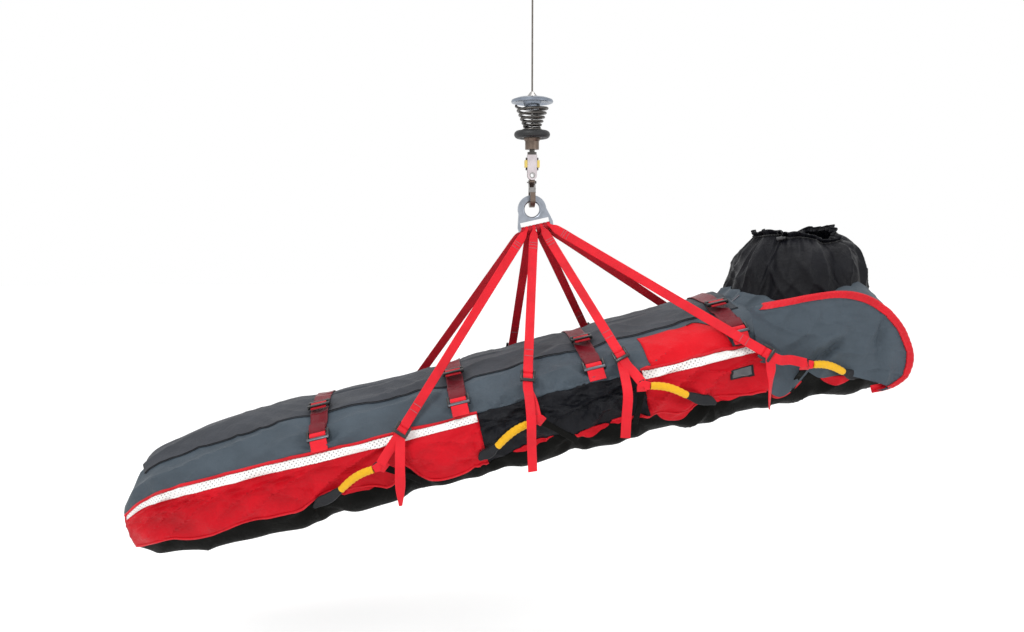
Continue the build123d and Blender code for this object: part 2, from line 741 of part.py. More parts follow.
def head_collar():
    """The black drawstring collar: an open sleeve, gathered at its rim."""
    outer = ring_loft([collar_ring(w, a, b, 0) for w, a, b in COLLAR])
    inner = ring_loft([collar_ring(w, a, b, 3) for w, a, b in COLLAR])
    return outer - inner


def rim_point(angle, r, rise):
    return Vector(COLLAR_U + r * cos(radians(angle)), r * sin(radians(angle)), RIM_W + rise)


CORD_R = 2.0
LOCK_ANGLE = 235.0
PLUNGER_R = 4.5


def collar_drawcord():
    """The elastic cord round the rim, closed by its lock, with a small free loop."""
    rim = Pos(COLLAR_U, 0, RIM_W + 2.3) * Torus(RIM_R - 2, CORD_R)
    spot = rim_point(LOCK_ANGLE, RIM_R - 2, 28)
    frame = Plane(origin=spot, x_dir=(sin(radians(LOCK_ANGLE)), -cos(radians(LOCK_ANGLE)), 0),
                  z_dir=(cos(radians(LOCK_ANGLE)), sin(radians(LOCK_ANGLE)), 0))
    loop = frame * (Torus(8, CORD_R - 0.4))
    return rim + loop


def lock_frame():
    outward = Vector(cos(radians(LOCK_ANGLE)), sin(radians(LOCK_ANGLE)), 0)
    along = Vector(-outward.Y, outward.X, 0)
    return Plane(origin=rim_point(LOCK_ANGLE, RIM_R - 2, 11.4), x_dir=along, z_dir=outward)


def cord_lock():
    """A barrel across the cord with a bore for its plunger."""
    barrel = Pos(-2, 0, 0) * Rot(0, 90, 0) * Cylinder(6.5, 18)
    bore = Pos(2, 0, 0) * Rot(0, 90, 0) * Cylinder(PLUNGER_R + RUN_FIT, 20)
    return lock_frame() * (barrel - bore)


def cord_lock_plunger():
    return lock_frame() * (Pos(6.5, 0, 0) * Rot(0, 90, 0) * Cylinder(PLUNGER_R, 13))


def cord_lock_spring():
    coil = Cylinder(3.6, 4.2) - Cylinder(2.6, 4.2)
    return lock_frame() * (Pos(-5.6, 0, 0) * Rot(0, 90, 0) * coil)


# ---- write every node ---------------------------------------------------------------------
def hoist_nodes():
    save("hoist_top_eye", hoist_top_eye())
    save("hoist_wire_rope", hoist_wire_rope())
    save("wire_end_terminal", wire_end_terminal())
    save("bumper_cone", bumper_cone())
    save("bumper_disc", bumper_disc())
    save("bumper_spring", bumper_spring())
    save("hand_ring_hub", hand_ring_hub())
    save("rubber_hand_ring", rubber_hand_ring())
    save("swivel_housing", swivel_housing())
    save("thrust_race_upper", thrust_race_upper())
    save("thrust_race_and_balls", *thrust_race_and_balls())
    save("swivel_bolt", swivel_bolt())
    save("swivel_block", swivel_block())
    save("block_cheeks", *block_cheeks())
    save("cheek_bolts", *cheek_bolts())
    save("hook_pin", hook_pin())
    save("hoist_hook", hoist_hook())
    save("hook_gate", hook_gate())
    save("gate_pin", gate_pin())
    save("gate_spring", gate_spring())
    save("master_link_plate", master_link_plate())


def sling_nodes():
    for far, name in ((False, "near"), (True, "far")):
        save(f"sling_legs_{name}", *[BAG * sling_leg(k, far) for k in range(4)])
        for k in range(4):
            save(f"strap_tail_{name}_{k + 1}", strap_tail(k, far))
    both = [(k, far) for far in (False, True) for k in range(4)]
    save("leg_buckles", *[BAG * leg_buckle(k, far) for k, far in both])
    save("leg_adjusters", *[BAG * adjuster(k, far) for k, far in both])
    loops = [s for k in range(4) for s in pair(carry_loop(k))]
    grips = [s for k in range(4) for s in pair(carry_grip(k))]
    save("carry_loops", *[BAG * s for s in loops])
    save("carry_grips", *[BAG * s for s in grips])


def bag_nodes():
    groups = {
        "base_tub": [base_tub()],
        "red_side_panels": side_panels(RED_PANELS),
        "mesh_side_panels": side_panels([MESH_PANEL]),
        "top_panels": top_panels(),
        "head_side_panels": head_side_panels(),
        "head_end_panel": [head_end_panel()],
        "vacuum_mattress": [mattress()],
        "stiffener_board": [stiffener_board()],
        "zip_chain": [zip_chain()],
        "zip_slider": [zip_slider()],
        "zip_pull": [zip_pull()],
        "zip_flap": [zip_flap()],
        "compression_straps": [compression_strap(u) for u in STRAPS_U],
        "lower_ladder_locks": [s for u in STRAPS_U for s in pair(lower_lock(u))],
        "upper_ladder_locks": [upper_lock(u) for u in STRAPS_U],
        "strap_tabs": [s for u in STRAPS_U for s in pair(strap_tab(u))],
        "reflective_tapes": reflective_tapes(),
        "red_binding": red_binding(),
        "blank_patch": [side_patch(500.0, 565.0, -34.0, -2.0, 3.4, 5.2)],
        "upper_pocket": [upper_pocket()],
        "head_collar": [head_collar()],
        "collar_drawcord": [collar_drawcord()],
        "cord_lock": [cord_lock()],
        "cord_lock_plunger": [cord_lock_plunger()],
        "cord_lock_spring": [cord_lock_spring()],
    }
    for name, solids in groups.items():
        save(name, *[BAG * s for s in solids])


hoist_nodes()
sling_nodes()
bag_nodes()
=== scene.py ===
"""Looks of the rescue stretcher: fabric panels, hood, webbing, buckles, hoist gear and studio.

Metres, in the part's frame. Soft pieces are built in the bag's own axes (u along it, v across
it, w up through it) and placed by the BAG matrix.
"""
import json
import math
import bpy
import numpy as np
from mathutils import Matrix, Vector, noise


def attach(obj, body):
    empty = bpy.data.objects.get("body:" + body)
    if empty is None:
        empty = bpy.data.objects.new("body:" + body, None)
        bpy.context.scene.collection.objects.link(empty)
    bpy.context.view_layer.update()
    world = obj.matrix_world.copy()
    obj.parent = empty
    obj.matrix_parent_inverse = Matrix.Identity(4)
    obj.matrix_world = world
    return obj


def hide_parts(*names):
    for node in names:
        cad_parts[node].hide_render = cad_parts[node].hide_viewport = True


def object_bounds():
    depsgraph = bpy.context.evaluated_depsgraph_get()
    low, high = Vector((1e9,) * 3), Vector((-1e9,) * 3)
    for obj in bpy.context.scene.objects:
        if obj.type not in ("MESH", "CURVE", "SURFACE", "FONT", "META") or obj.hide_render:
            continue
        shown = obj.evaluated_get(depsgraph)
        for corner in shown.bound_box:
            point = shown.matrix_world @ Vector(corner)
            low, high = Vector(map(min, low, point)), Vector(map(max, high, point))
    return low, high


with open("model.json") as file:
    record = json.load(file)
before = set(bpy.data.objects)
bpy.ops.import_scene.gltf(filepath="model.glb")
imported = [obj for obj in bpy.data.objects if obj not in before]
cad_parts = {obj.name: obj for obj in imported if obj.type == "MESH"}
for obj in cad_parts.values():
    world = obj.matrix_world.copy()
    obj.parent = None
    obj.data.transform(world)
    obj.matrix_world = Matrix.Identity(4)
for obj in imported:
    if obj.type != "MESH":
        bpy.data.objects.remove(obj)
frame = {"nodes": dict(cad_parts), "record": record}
cad_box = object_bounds()

# ---- the bag's axes and section
TILT = math.radians(12.5)
BAG = Matrix.Translation((0, 0, -1.18)) @ Matrix.Rotation(-TILT, 4, "Y")
LINK_AT = np.array([0.1147, 0, 0.5174])    # the master link's hole centre

STATIONS = np.array([      # u, half width, bottom, top
    (-1.160, 0.108, -0.150, -0.010), (-1.100, 0.148, -0.174, 0.055), (-0.980, 0.190, -0.186, 0.096),
    (-0.800, 0.222, -0.188, 0.115), (-0.450, 0.248, -0.164, 0.114), (-0.100, 0.266, -0.152, 0.124),
    (0.250, 0.276, -0.148, 0.134), (0.600, 0.280, -0.158, 0.144)])
HEAD_STATIONS = np.array([
    (0.560, 0.270, -0.157, 0.157), (0.600, 0.270, -0.158, 0.156), (0.812, 0.268, -0.164, 0.139),
    (0.863, 0.266, -0.165, 0.127), (0.914, 0.264, -0.162, 0.102), (0.960, 0.262, -0.152, 0.064),
    (0.990, 0.260, -0.138, 0.020), (1.010, 0.258, -0.116, -0.020)])
RAILS = np.array([(0, 0), (0.45, 0), (0.80, 0.05), (0.94, 0.25), (1.0, 0.48), (0.985, 0.60),
                  (0.95, 0.71), (0.80, 0.86), (0.52, 0.955), (0.26, 0.993), (0, 1.0)])
HEAD_RAILS = np.array([(0, 0), (0.45, 0), (0.80, 0.05), (0.94, 0.25), (1.0, 0.48), (1.0, 0.60),
                       (0.99, 0.72), (0.97, 0.86), (0.94, 1.0)])
FOOT_U, NECK_U, HEAD_U = -1.16, 0.60, 1.01
MESH_FROM, MESH_TO = -0.165, 0.275
CREST = 10

LEG_BUCKLES = [(-0.351, 0.055), (-0.011, 0.112), (0.229, 0.114), (0.585, 0.040)]
LOOP_APEX = [(-0.432, -0.022), (-0.020, 0.006), (0.262, 0.030), (0.692, -0.018)]
LOOP_ENDS = [((-0.635, -0.108), (-0.350, -0.104)), ((-0.185, -0.078), (0.072, -0.092)),
             ((0.232, -0.088), (0.452, -0.076)), ((0.664, -0.104), (0.858, -0.104))]
GRIP_ON_FOOT_SIDE = [True, True, False, False]
BUCKLE_OUT = [0.038, 0.085, 0.082, 0.035]
APEX_OUT = 0.044
END_OUT = 0.011
TAIL_LENGTHS = [0.180, 0.222, 0.196, 0.140]
GRIP_LENGTH = 0.108
STRAPS_U = [-0.580, -0.205, 0.160, 0.552]
STRAP_HALF = 0.023
SLING_HALF = 0.0125
WIDE = 2 * SLING_HALF
WEB = 0.0026
PANEL = 0.003              # thickness of the panels' coated cloth
SIDE_TOP = 6.0             # the rail where the side panels meet the slate tops
BAR_Z, BAR_R, SLOT_HALF = -0.052, 0.006, 0.042
LOCK_PITCH = 0.013


# ---- small maths
def curve(xs, ys, x):
    """A smooth line through points, read at x (an array)."""
    xs, ys, x = np.asarray(xs, float), np.asarray(ys, float), np.asarray(x, float)
    k = np.clip(np.searchsorted(xs, x) - 1, 0, len(xs) - 2)
    h = xs[k + 1] - xs[k]
    t = np.clip((x - xs[k]) / h, 0, 1)
    m = np.gradient(ys, xs)
    a, b = ys[k], ys[k + 1]
    return ((2 * t**3 - 3 * t**2 + 1) * a + (t**3 - 2 * t**2 + t) * h * m[k]
            + (3 * t**2 - 2 * t**3) * b + (t**3 - t**2) * h * m[k + 1])


def bump(x, centre, width):
    return np.exp(-((x - centre) / width) ** 2)


def noise_at(a, b, seed):
    """Smooth noise from -1 to 1 at the points (a, b)."""
    a, b = np.broadcast_arrays(np.asarray(a, float), np.asarray(b, float))
    values = [noise.noise((x, y, seed)) for x, y in zip(a.ravel(), b.ravel())]
    return np.array(values).reshape(a.shape)


def folds(a, b, seed, angle, length, width):
    """Long soft creases that run along one direction, from -0.5 to 0.5."""
    c, s = math.cos(angle), math.sin(angle)
    along, across = (a * c + b * s) / length, (b * c - a * s) / width
    bend = 0.6 * noise_at(along * 0.7, across * 0.3, seed + 31.7)
    ridge = 1 - np.abs(2 * noise_at(along, across + bend, seed))
    return np.clip(ridge, 0, 1) ** 2 - 0.5


def wrap(i):
    """Rails run on over the crest: past -10 is the far side."""
    return np.where(i < -CREST, i + 2 * CREST, i)


def shape(u, i, table=STATIONS, rails=RAILS):
    i = wrap(np.asarray(i, float))
    u = np.asarray(u, float)
    half = curve(table[:, 0], table[:, 1], u)
    low = curve(table[:, 0], table[:, 2], u)
    high = curve(table[:, 0], table[:, 3], u)
    index = np.arange(len(rails))
    across = curve(index, rails[:, 0], np.abs(i))
    up = curve(index, rails[:, 1], np.abs(i))
    u, side = np.broadcast_arrays(u, np.where(i < 0, -1.0, 1.0))
    return np.stack([u, side * across * half, low + up * (high - low)], -1)


def outward(u, i, table=STATIONS, rails=RAILS):
    du = shape(u + 0.004, i, table, rails) - shape(u - 0.004, i, table, rails)
    di = shape(u, i + 0.06, table, rails) - shape(u, i - 0.06, table, rails)
    n = np.cross(di, du)
    return n / np.maximum(np.linalg.norm(n, axis=-1, keepdims=True), 1e-9)


RAIL_STEP = 0.062          # typical distance between two rails
NOTCHES = [(-0.585, 0.016), (-0.36, 0.010), (-0.13, 0.008),     # u and depth of the base's tucks
           (0.06, 0.007), (0.315, 0.018), (0.545, 0.014)]
TAB_SPOTS = ([(end[0], 3.1) for pair in LOOP_ENDS[:3] for end in pair]
             + [(u, SIDE_TOP) for u in STRAPS_U])


def relief(u, i):
    """How far the filled bag's skin stands off its plain section: lumps, folds and puckers."""
    u, i = np.broadcast_arrays(np.asarray(u, float), np.asarray(i, float))
    rail = np.abs(wrap(i))
    side = np.where(wrap(i) < 0, 0.0, 9.0)
    s = rail * RAIL_STEP
    d = 0.006 * noise_at(u * 4.2 + side, s * 5, 1.3)
    d = d + 0.0035 * noise_at(u * 13 + side, s * 12, 5.1)
    top = np.clip((rail - 6.2) / 0.8, 0, 1)
    low = np.clip((3.2 - rail) / 0.6, 0, 1)
    red = (1 - top) * (1 - low)
    d = d + red * 0.0180 * folds(u + side, s, 2.2, 0.48, 0.40, 0.070)
    d = d + red * 0.0090 * folds(u + side, s, 8.4, -0.50, 0.24, 0.045)
    d = d + low * 0.0060 * folds(u + side, s, 3.6, 0.9, 0.34, 0.110)
    d = (d - 0.016 * bump(u, -1.078, 0.026) * bump(rail, 5.9, 0.9)
         + 0.006 * bump(u, -1.03, 0.03) * bump(rail, 6.2, 1.0))
    d = d + top * 0.0120 * folds(u + side, s, 4.9, 0.12, 0.55, 0.085)
    d = d + top * 0.0045 * folds(u + side, s, 6.1, -0.7, 0.22, 0.055)
    for centre, depth in NOTCHES:
        d = d - low * depth * bump(u, centre, 0.035) + low * 0.006 * bump(u, centre + 0.11, 0.06)
    for centre in STRAPS_U:
        d = d - top * 0.006 * bump(u, centre, 0.03) + top * 0.006 * bump(np.abs(u - centre), 0.085, 0.045)
    for n, (cu, cr) in enumerate(TAB_SPOTS):
        r = np.hypot(u - cu, s - cr * RAIL_STEP)
        spread = np.arctan2(s - cr * RAIL_STEP, u - cu)
        fade = np.exp(-(r / 0.085) ** 2) * (1 - np.exp(-(r / 0.025) ** 2))
        d = d + 0.0050 * np.sin(8 * spread + n * 1.7) * fade
    mesh = red * np.clip((u - MESH_FROM) / 0.03, 0, 1) * np.clip((MESH_TO - u) / 0.03, 0, 1)
    d = d + mesh * (0.0125 * folds(u, s, 11.0, 0.9, 0.13, 0.036)
                    + 0.0075 * folds(u, s, 12.5, -0.5, 0.09, 0.026))
    tape = bump(rail, 5.52, 0.55)
    d = d * (1 - 0.5 * tape) - 0.0015
    ends = np.clip((u - FOOT_U) / 0.05, 0.15, 1)
    calm = 1 - 0.68 * bump(rail, 10.0, 1.3)
    flat = np.clip((2.0 - rail) / 0.6, 0, 1)      # the board under the mattress holds the middle out
    return np.clip(d, -0.014 + 0.007 * flat, 0.010) * ends * calm


def skin(u, i, out=0.0):
    """A point on the filled bag's skin, moved out along its normal."""
    u, i = np.broadcast_arrays(np.asarray(u, float), np.asarray(i, float))
    d = relief(u, i) + out
    return shape(u, i) + outward(u, i) * d[..., None]


def head_relief(u, i):
    u, i = np.broadcast_arrays(np.asarray(u, float), np.asarray(i, float))
    s = np.abs(i) * RAIL_STEP
    side = np.where(i < 0, 0.0, 7.0)
    low = np.clip((3.3 - np.abs(i)) / 0.6, 0, 1)
    d = 0.005 * noise_at(u * 5 + side, s * 6, 21.0)
    d = d + (1 - low) * 0.0075 * folds(u + side, s, 22.5, 0.5, 0.20, 0.075)
    d = d + low * 0.010 * folds(u + side, s, 23.5, 1.2, 0.2, 0.07)
    d = d - 0.009 * (1 - low) * bump(u, 0.775, 0.05) * bump(s, 0.235, 0.016)
    d = d - 0.008 * (1 - low) * bump(u, 0.945, 0.018) * bump(s, 0.34, 0.09)
    d = d - low * 0.014 * bump(u, 0.742, 0.035) + low * 0.006 * bump(u, 0.83, 0.05)
    edge = np.clip((8 - np.abs(i)) / 0.8, 0.15, 1)
    return np.clip(d, -0.012, 0.009) * edge - 0.001


def head_skin(u, i, out=0.0):
    u, i = np.broadcast_arrays(np.asarray(u, float), np.asarray(i, float))
    d = head_relief(u, i) + out
    n = outward(u, i, HEAD_STATIONS, HEAD_RAILS)
    return shape(u, i, HEAD_STATIONS, HEAD_RAILS) + n * d[..., None]


# ---- mesh building
class Piece:
    """Collects grids of quads, then makes one object of them."""

    def __init__(self, local=True):
        self.points, self.faces, self.uvs, self.slots = [], [], [], []
        self.local = local

    def grid(self, points, uv, mat=0, ring=False, caps=False):
        """points is rows x columns x 3; ring closes the columns, caps closes the two end rows."""
        rows, cols = points.shape[:2]
        base = len(self.points)
        self.points += [tuple(p) for p in points.reshape(-1, 3)]
        last = cols if ring else cols - 1
        for r in range(rows - 1):
            for c in range(last):
                d = (c + 1) % cols
                quad = [base + r * cols + c, base + r * cols + d,
                        base + (r + 1) * cols + d, base + (r + 1) * cols + c]
                self.faces.append(quad)
                right = uv[r, c + 1] if c + 1 < uv.shape[1] else uv[r, c]
                right_up = uv[r + 1, c + 1] if c + 1 < uv.shape[1] else uv[r + 1, c]
                self.uvs.append([uv[r, c], right, right_up, uv[r + 1, c]])
                self.slots.append(mat)
        if caps:
            for r, order in ((0, -1), (rows - 1, 1)):
                loop = [base + r * cols + c for c in range(cols)][::order]
                self.faces.append(loop)
                self.uvs.append([uv[r, 0]] * cols)
                self.slots.append(mat)

    def build(self, name, mats, body, slot, replaces=(), thick=0.0, sharp=38):
        mesh = bpy.data.meshes.new(name)
        mesh.from_pydata(self.points, [], self.faces)
        layer = mesh.uv_layers.new(name="UVMap")
        flat = [c for face in self.uvs for corner in face for c in (float(corner[0]), float(corner[1]))]
        layer.data.foreach_set("uv", flat)
        for m in mats:
            mesh.materials.append(m)
        mesh.polygons.foreach_set("material_index", self.slots)
        mesh.polygons.foreach_set("use_smooth", [True] * len(mesh.polygons))
        mesh.update()
        if self.local:
            mesh.transform(BAG)
        mesh.set_sharp_from_angle(angle=math.radians(sharp))
        thing = bpy.data.objects.new(name, mesh)
        bpy.context.scene.collection.objects.link(thing)
        if thick:
            solid = thing.modifiers.new("thickness", "SOLIDIFY")
            solid.thickness = thick
            solid.offset = -1
            solid.use_even_offset = False
        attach(thing, body)
        if replaces:
            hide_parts(*replaces)
        return thing

    def sew(self, name, keys, nodes=(), slot=None, **settings):
        """Build on the stretcher's body; the slot, given or taken from the first look, is passed on but not
        used.
        """
        keys = keys if isinstance(keys, tuple) else (keys,)
        return self.build(name, [looks[k] for k in keys], "stretcher", slot or keys[0], nodes, **settings)


def metric_uv(points):
    """UVs in metres: distance along rows and along columns."""
    along = np.linalg.norm(np.diff(points[:, points.shape[1] // 2], axis=0), axis=-1)
    across = np.linalg.norm(np.diff(points[points.shape[0] // 2], axis=0), axis=-1)
    a = np.concatenate([[0], np.cumsum(along)])
    b = np.concatenate([[0], np.cumsum(across)])
    return np.stack(np.meshgrid(a, b, indexing="ij"), -1)


def patch(piece, u0, u1, i0, i1, out=0.0, step=0.009, rail_step=0.11, head=False, mat=0):
    """A panel of skin from rail i0 to i1; the rails and out may be functions of u."""
    rows = max(int(round((u1 - u0) / step)), 2) + 1
    u = np.linspace(u0, u1, rows)[:, None]
    low = i0(u) if callable(i0) else np.full_like(u, i0)
    high = i1(u) if callable(i1) else np.full_like(u, i1)
    cols = max(int(round(abs(float((high - low).mean())) / rail_step)), 2) + 1
    t = np.linspace(0, 1, cols)[None, :]
    i = low + (high - low) * t
    lift = out(t) if callable(out) else out
    points = (head_skin if head else skin)(u + 0 * i, i, lift + 0 * i)
    if float((high - low).mean()) < 0:
        points = points[:, ::-1]
    piece.grid(points, metric_uv(points), mat)


def frames(points, normals):
    """Unit run, across and out vectors at each point of a path."""
    run = np.gradient(points, axis=0)
    run /= np.linalg.norm(run, axis=1, keepdims=True)
    across = np.cross(normals, run)
    across /= np.linalg.norm(across, axis=1, keepdims=True)
    return run, across, np.cross(run, across)


def resample(points, values, step):
    """A smooth path through the points, with the values (rows) carried along."""
    points, values = np.asarray(points, float), np.asarray(values, float)
    gaps = np.linalg.norm(np.diff(points, axis=0), axis=1)
    at = np.concatenate([[0], np.cumsum(gaps)])
    n = max(int(at[-1] / step), 3) + 1
    x = np.linspace(0, at[-1], n)
    path = np.stack([curve(at, points[:, k], x) for k in range(3)], -1)
    carried = np.stack([curve(at, values[:, k], x) for k in range(values.shape[1])], -1)
    return path, carried, x


def strap(piece, points, normals, width, thick=0.0022, step=0.006, wave=0.0, seed=0.0, mat=0):
    """Webbing through the points. width is one number or one per point."""
    widths = np.full(len(points), width) if np.isscalar(width) else np.asarray(width)
    values = np.concatenate([np.asarray(normals, float), widths[:, None]], 1)
    path, carried, s = resample(points, values, step)
    _, across, out = frames(path, carried[:, :3])
    w = carried[:, 3:4]
    path = path + out * (wave * noise_at(s * 9, seed, 3.3))[:, None]
    e = thick * 0.45
    rim = [(-1, 0, 0), (-1, -1, e), (-0.33, -1, 0), (0.33, -1, 0), (1, -1, e), (1, 0, 0),
           (1, 1, e), (0.33, 1, 0), (-0.33, 1, 0), (-1, 1, e)]
    rows = []
    for side, face, inset in rim:
        rows.append(path + across * (side * w / 2 - math.copysign(inset, side)) + out * (face * thick / 2))
    points = np.stack(rows, 1)
    round_it = np.array([side * 0.5 + 0.5 for side, _, _ in rim] + [0.0])
    uv = np.stack(np.broadcast_arrays(s[:, None], round_it[None, :] * w.mean()), -1)
    piece.grid(points, uv, mat, ring=True, caps=True)
    return path, across, out


def tube(piece, points, r, sides=10, step=0.008, mat=0, smooth=True, closed_ends=True):
    points = np.asarray(points, float)
    if smooth:
        points, _, s = resample(points, np.zeros((len(points), 1)), step)
    else:
        s = np.arange(len(points)) * step
    guide = np.tile([0.13, 0.31, 0.94], (len(points), 1))
    _, across, out = frames(points, guide)
    angle = np.linspace(0, 2 * math.pi, sides, endpoint=False)
    radii = np.full(len(points), r) if np.isscalar(r) else np.asarray(r)
    ring = (across[:, None] * np.cos(angle)[None, :, None] + out[:, None] * np.sin(angle)[None, :, None])
    grid = points[:, None] + ring * radii[:, None, None]
    girth = np.linspace(0, 6.28 * r if np.isscalar(r) else 0.05, sides + 1)
    uv = np.stack(np.broadcast_arrays(s[:, None], girth[None, :]), -1)
    piece.grid(grid, uv, mat, ring=True, caps=closed_ends)


def rounded_bar(piece, start, end, half_a, half_b, normal, mat=0):
    """A bar with a rounded rectangular section."""
    start, end = np.asarray(start, float), np.asarray(end, float)
    run = (end - start) / np.linalg.norm(end - start)
    across = np.cross(normal, run)
    across /= np.linalg.norm(across)
    out = np.cross(run, across)
    power = 0.5                # lower is squarer
    angle = np.linspace(0, 2 * math.pi, 16, endpoint=False)
    ca, sa = np.cos(angle), np.sin(angle)
    wide = np.sign(ca) * np.abs(ca) ** power * half_a
    deep = np.sign(sa) * np.abs(sa) ** power * half_b
    ring = wide[:, None] * across + deep[:, None] * out
    small = min(half_a, half_b)
    length = np.linalg.norm(end - start)
    rows = []
    for t, scale in ((0, 0.55), (small * 0.35, 0.88), (small * 0.9, 1), (length - small * 0.9, 1),
                     (length - small * 0.35, 0.88), (length, 0.55)):
        rows.append(start + run * t + ring * scale)
    grid = np.stack(rows)
    uv = np.stack(np.meshgrid(np.linspace(0, length, 6), np.linspace(0, 0.02, 17), indexing="ij"), -1)
    piece.grid(grid, uv, mat, ring=True, caps=True)


# ---- materials
class Look:
    """A material's node tree, with short ways to add the usual nodes."""

    def __init__(self, name):
        self.mat = bpy.data.materials.new(name)
        self.mat.use_nodes = True
        self.tree = self.mat.node_tree
        self.shader = self.tree.nodes["Principled BSDF"]
        self.coords = self.tree.nodes.new("ShaderNodeTexCoord")

    def add(self, kind, inputs=(), **settings):
        node = self.tree.nodes.new(kind)
        for key, value in settings.items():
            setattr(node, key, value)
        for key, value in dict(inputs).items():
            self.feed(node.inputs[key], value)
        return node

    def feed(self, socket, value):
        """Link a socket to another one, or set its own value."""
        if isinstance(value, bpy.types.NodeSocket):
            self.tree.links.new(value, socket)
        else:
            socket.default_value = value

    def set(self, **sockets):
        for key, value in sockets.items():
            self.feed(self.shader.inputs[key.replace("_", " ")], value)

    def noise(self, scale, detail=4.0, source="Object", rough=0.55, stretch=None):
        vector = self.coords.outputs[source]
        if stretch:
            vector = self.add("ShaderNodeMapping", {"Vector": vector, "Scale": stretch}).outputs[0]
        return self.add("ShaderNodeTexNoise", {"Vector": vector, "Scale": scale, "Detail": detail,
                                               "Roughness": rough}).outputs["Fac"]

    def ramp(self, fac, stops):
        node = self.add("ShaderNodeValToRGB", {"Fac": fac})
        ramp = node.color_ramp
        while len(ramp.elements) < len(stops):
            ramp.elements.new(0.5)
        for element, (at, colour) in zip(ramp.elements, stops):
            element.position = at
            element.color = (*colour, 1)
        return node.outputs["Color"]

    def mix(self, fac, a, b):
        node = self.add("ShaderNodeMix", data_type="RGBA")
        for key, value in ((0, fac), (6, a), (7, b)):
            plain = key == 0 or isinstance(value, bpy.types.NodeSocket)
            self.feed(node.inputs[key], value if plain else (*value, 1))
        return node.outputs[2]

    def maths(self, kind, a, b=0.0):
        return self.add("ShaderNodeMath", {0: a, 1: b}, operation=kind).outputs[0]

    def between(self, value, low, high, **source):
        """The value stretched to run from low to high."""
        ends = {key.replace("_", " "): at for key, at in source.items()}
        ends.update({"Value": value, "To Min": low, "To Max": high})
        return self.add("ShaderNodeMapRange", ends).outputs[0]

    def threads(self, pitch, source="UV", cross=True):
        """Warp and weft as two crossed waves, pitch in metres, from 0 to 1."""
        vector = self.coords.outputs[source]
        waves = []
        for direction in ("X", "Y") if cross else ("X",):
            waves.append(self.add("ShaderNodeTexWave", {"Vector": vector, "Scale": 0.314 / pitch,
                                                        "Distortion": 0.4, "Detail": 1.0},
                                  bands_direction=direction).outputs["Fac"])
        return self.maths("MULTIPLY", waves[0], waves[1]) if cross else waves[0]

    def bump(self, height, distance, strength=1.0, below=None):
        inputs = {"Height": height, "Distance": distance, "Strength": strength}
        if below is not None:
            inputs["Normal"] = below
        return self.add("ShaderNodeBump", inputs).outputs["Normal"]


def shade(colour, k):
    return tuple(min(1.0, c * k) for c in colour)


def fabric(name, colour, rough=0.62, pitch=0.0012, sheen=0.15, crumple=0.0012, contrast=0.22, specular=0.3):
    """Coated woven cloth: fine weave, faint creases, and cloudy changes of tone."""
    look = Look(name)
    clouds = look.noise(9.0, 5.0)
    fine = look.noise(140.0, 3.0)
    tone = look.ramp(clouds, [(0.28, shade(colour, 1 - contrast)), (0.5, colour),
                              (0.75, shade(colour, 1 + contrast))])
    tone = look.mix(look.maths("MULTIPLY", fine, 0.22), tone, shade(colour, 0.6))
    crease = look.noise(26.0, 6.0, rough=0.62)
    fold = look.maths("ABSOLUTE", look.maths("SUBTRACT", look.noise(8.5, 2.5, rough=0.45), 0.5))
    weave = look.threads(pitch)
    folded = look.bump(fold, 0.020, 0.55)
    lumpy = look.bump(crease, crumple * 8, 0.50, folded)
    normal = look.bump(weave, pitch * 0.22, 0.6, lumpy)
    spread = look.between(crease, rough - 0.10, rough + 0.12)
    look.set(Base_Color=tone, Roughness=spread, Normal=normal, Sheen_Weight=sheen, Sheen_Roughness=0.4,
             Specular_IOR_Level=specular)
    return look.mat


def webbing(name, colour, rough=0.5, sheen=0.25):
    """Flat woven webbing: strong lengthwise cords, weft ribs, and painted shade in the weave's low spots."""
    look = Look(name)
    uv = look.coords.outputs["UV"]
    split = look.add("ShaderNodeSeparateXYZ", {"Vector": uv})
    ribs = look.maths("SINE", look.maths("MULTIPLY", split.outputs["X"], 2 * math.pi / 0.0021))
    cords = look.maths("SINE", look.maths("MULTIPLY", split.outputs["Y"], 2 * math.pi / 0.0031))
    weave = look.maths("MULTIPLY", ribs, cords)
    height = look.maths("ADD", look.maths("MULTIPLY", weave, 0.5), look.noise(160.0, 2.0))
    clouds = look.noise(14.0, 4.0)
    tone = look.ramp(clouds, [(0.3, shade(colour, 0.80)), (0.55, colour), (0.8, shade(colour, 1.12))])
    # Painted shade: the weave's low spots are darkened towards half the colour.
    dark = look.maths("MULTIPLY", look.maths("LESS_THAN", weave, -0.25), 0.35)
    tone = look.mix(dark, tone, shade(colour, 0.5))
    look.set(Base_Color=tone, Roughness=rough, Normal=look.bump(height, 0.0005, 0.7),
             Sheen_Weight=sheen, Sheen_Roughness=0.35, Specular_IOR_Level=0.25)
    return look.mat


def metal(name, colour, rough=0.32, grain=0.10, stretch=(1, 1, 14), stain=0.25, metallic=1.0):
    """Worked metal: brushed grain, stains and scratches in the roughness."""
    look = Look(name)
    grain_map = look.noise(240.0, 4.0, stretch=stretch)
    stains = look.noise(38.0, 5.0)
    tone = look.ramp(stains, [(0.3, shade(colour, 1 - stain)), (0.55, colour),
                              (0.8, shade(colour, 1 + stain * 0.5))])
    spread = look.between(look.noise(90.0, 6.0), rough - grain, rough + grain * 1.6)
    look.set(Base_Color=tone, Metallic=metallic, Roughness=spread, Normal=look.bump(grain_map, 0.00012, 0.5))
    return look.mat


def moulded(name, colour, rough=0.45, coat=0.0):
    """Moulded plastic or paint with a fine orange-peel surface."""
    look = Look(name)
    peel = look.noise(420.0, 2.0)
    clouds = look.noise(30.0, 4.0)
    tone = look.ramp(clouds, [(0.35, shade(colour, 0.85)), (0.7, shade(colour, 1.1))])
    spread = look.between(clouds, rough - 0.08, rough + 0.1)
    look.set(Base_Color=tone, Roughness=spread, Normal=look.bump(peel, 0.00025, 0.5), Coat_Weight=coat)
    return look.mat


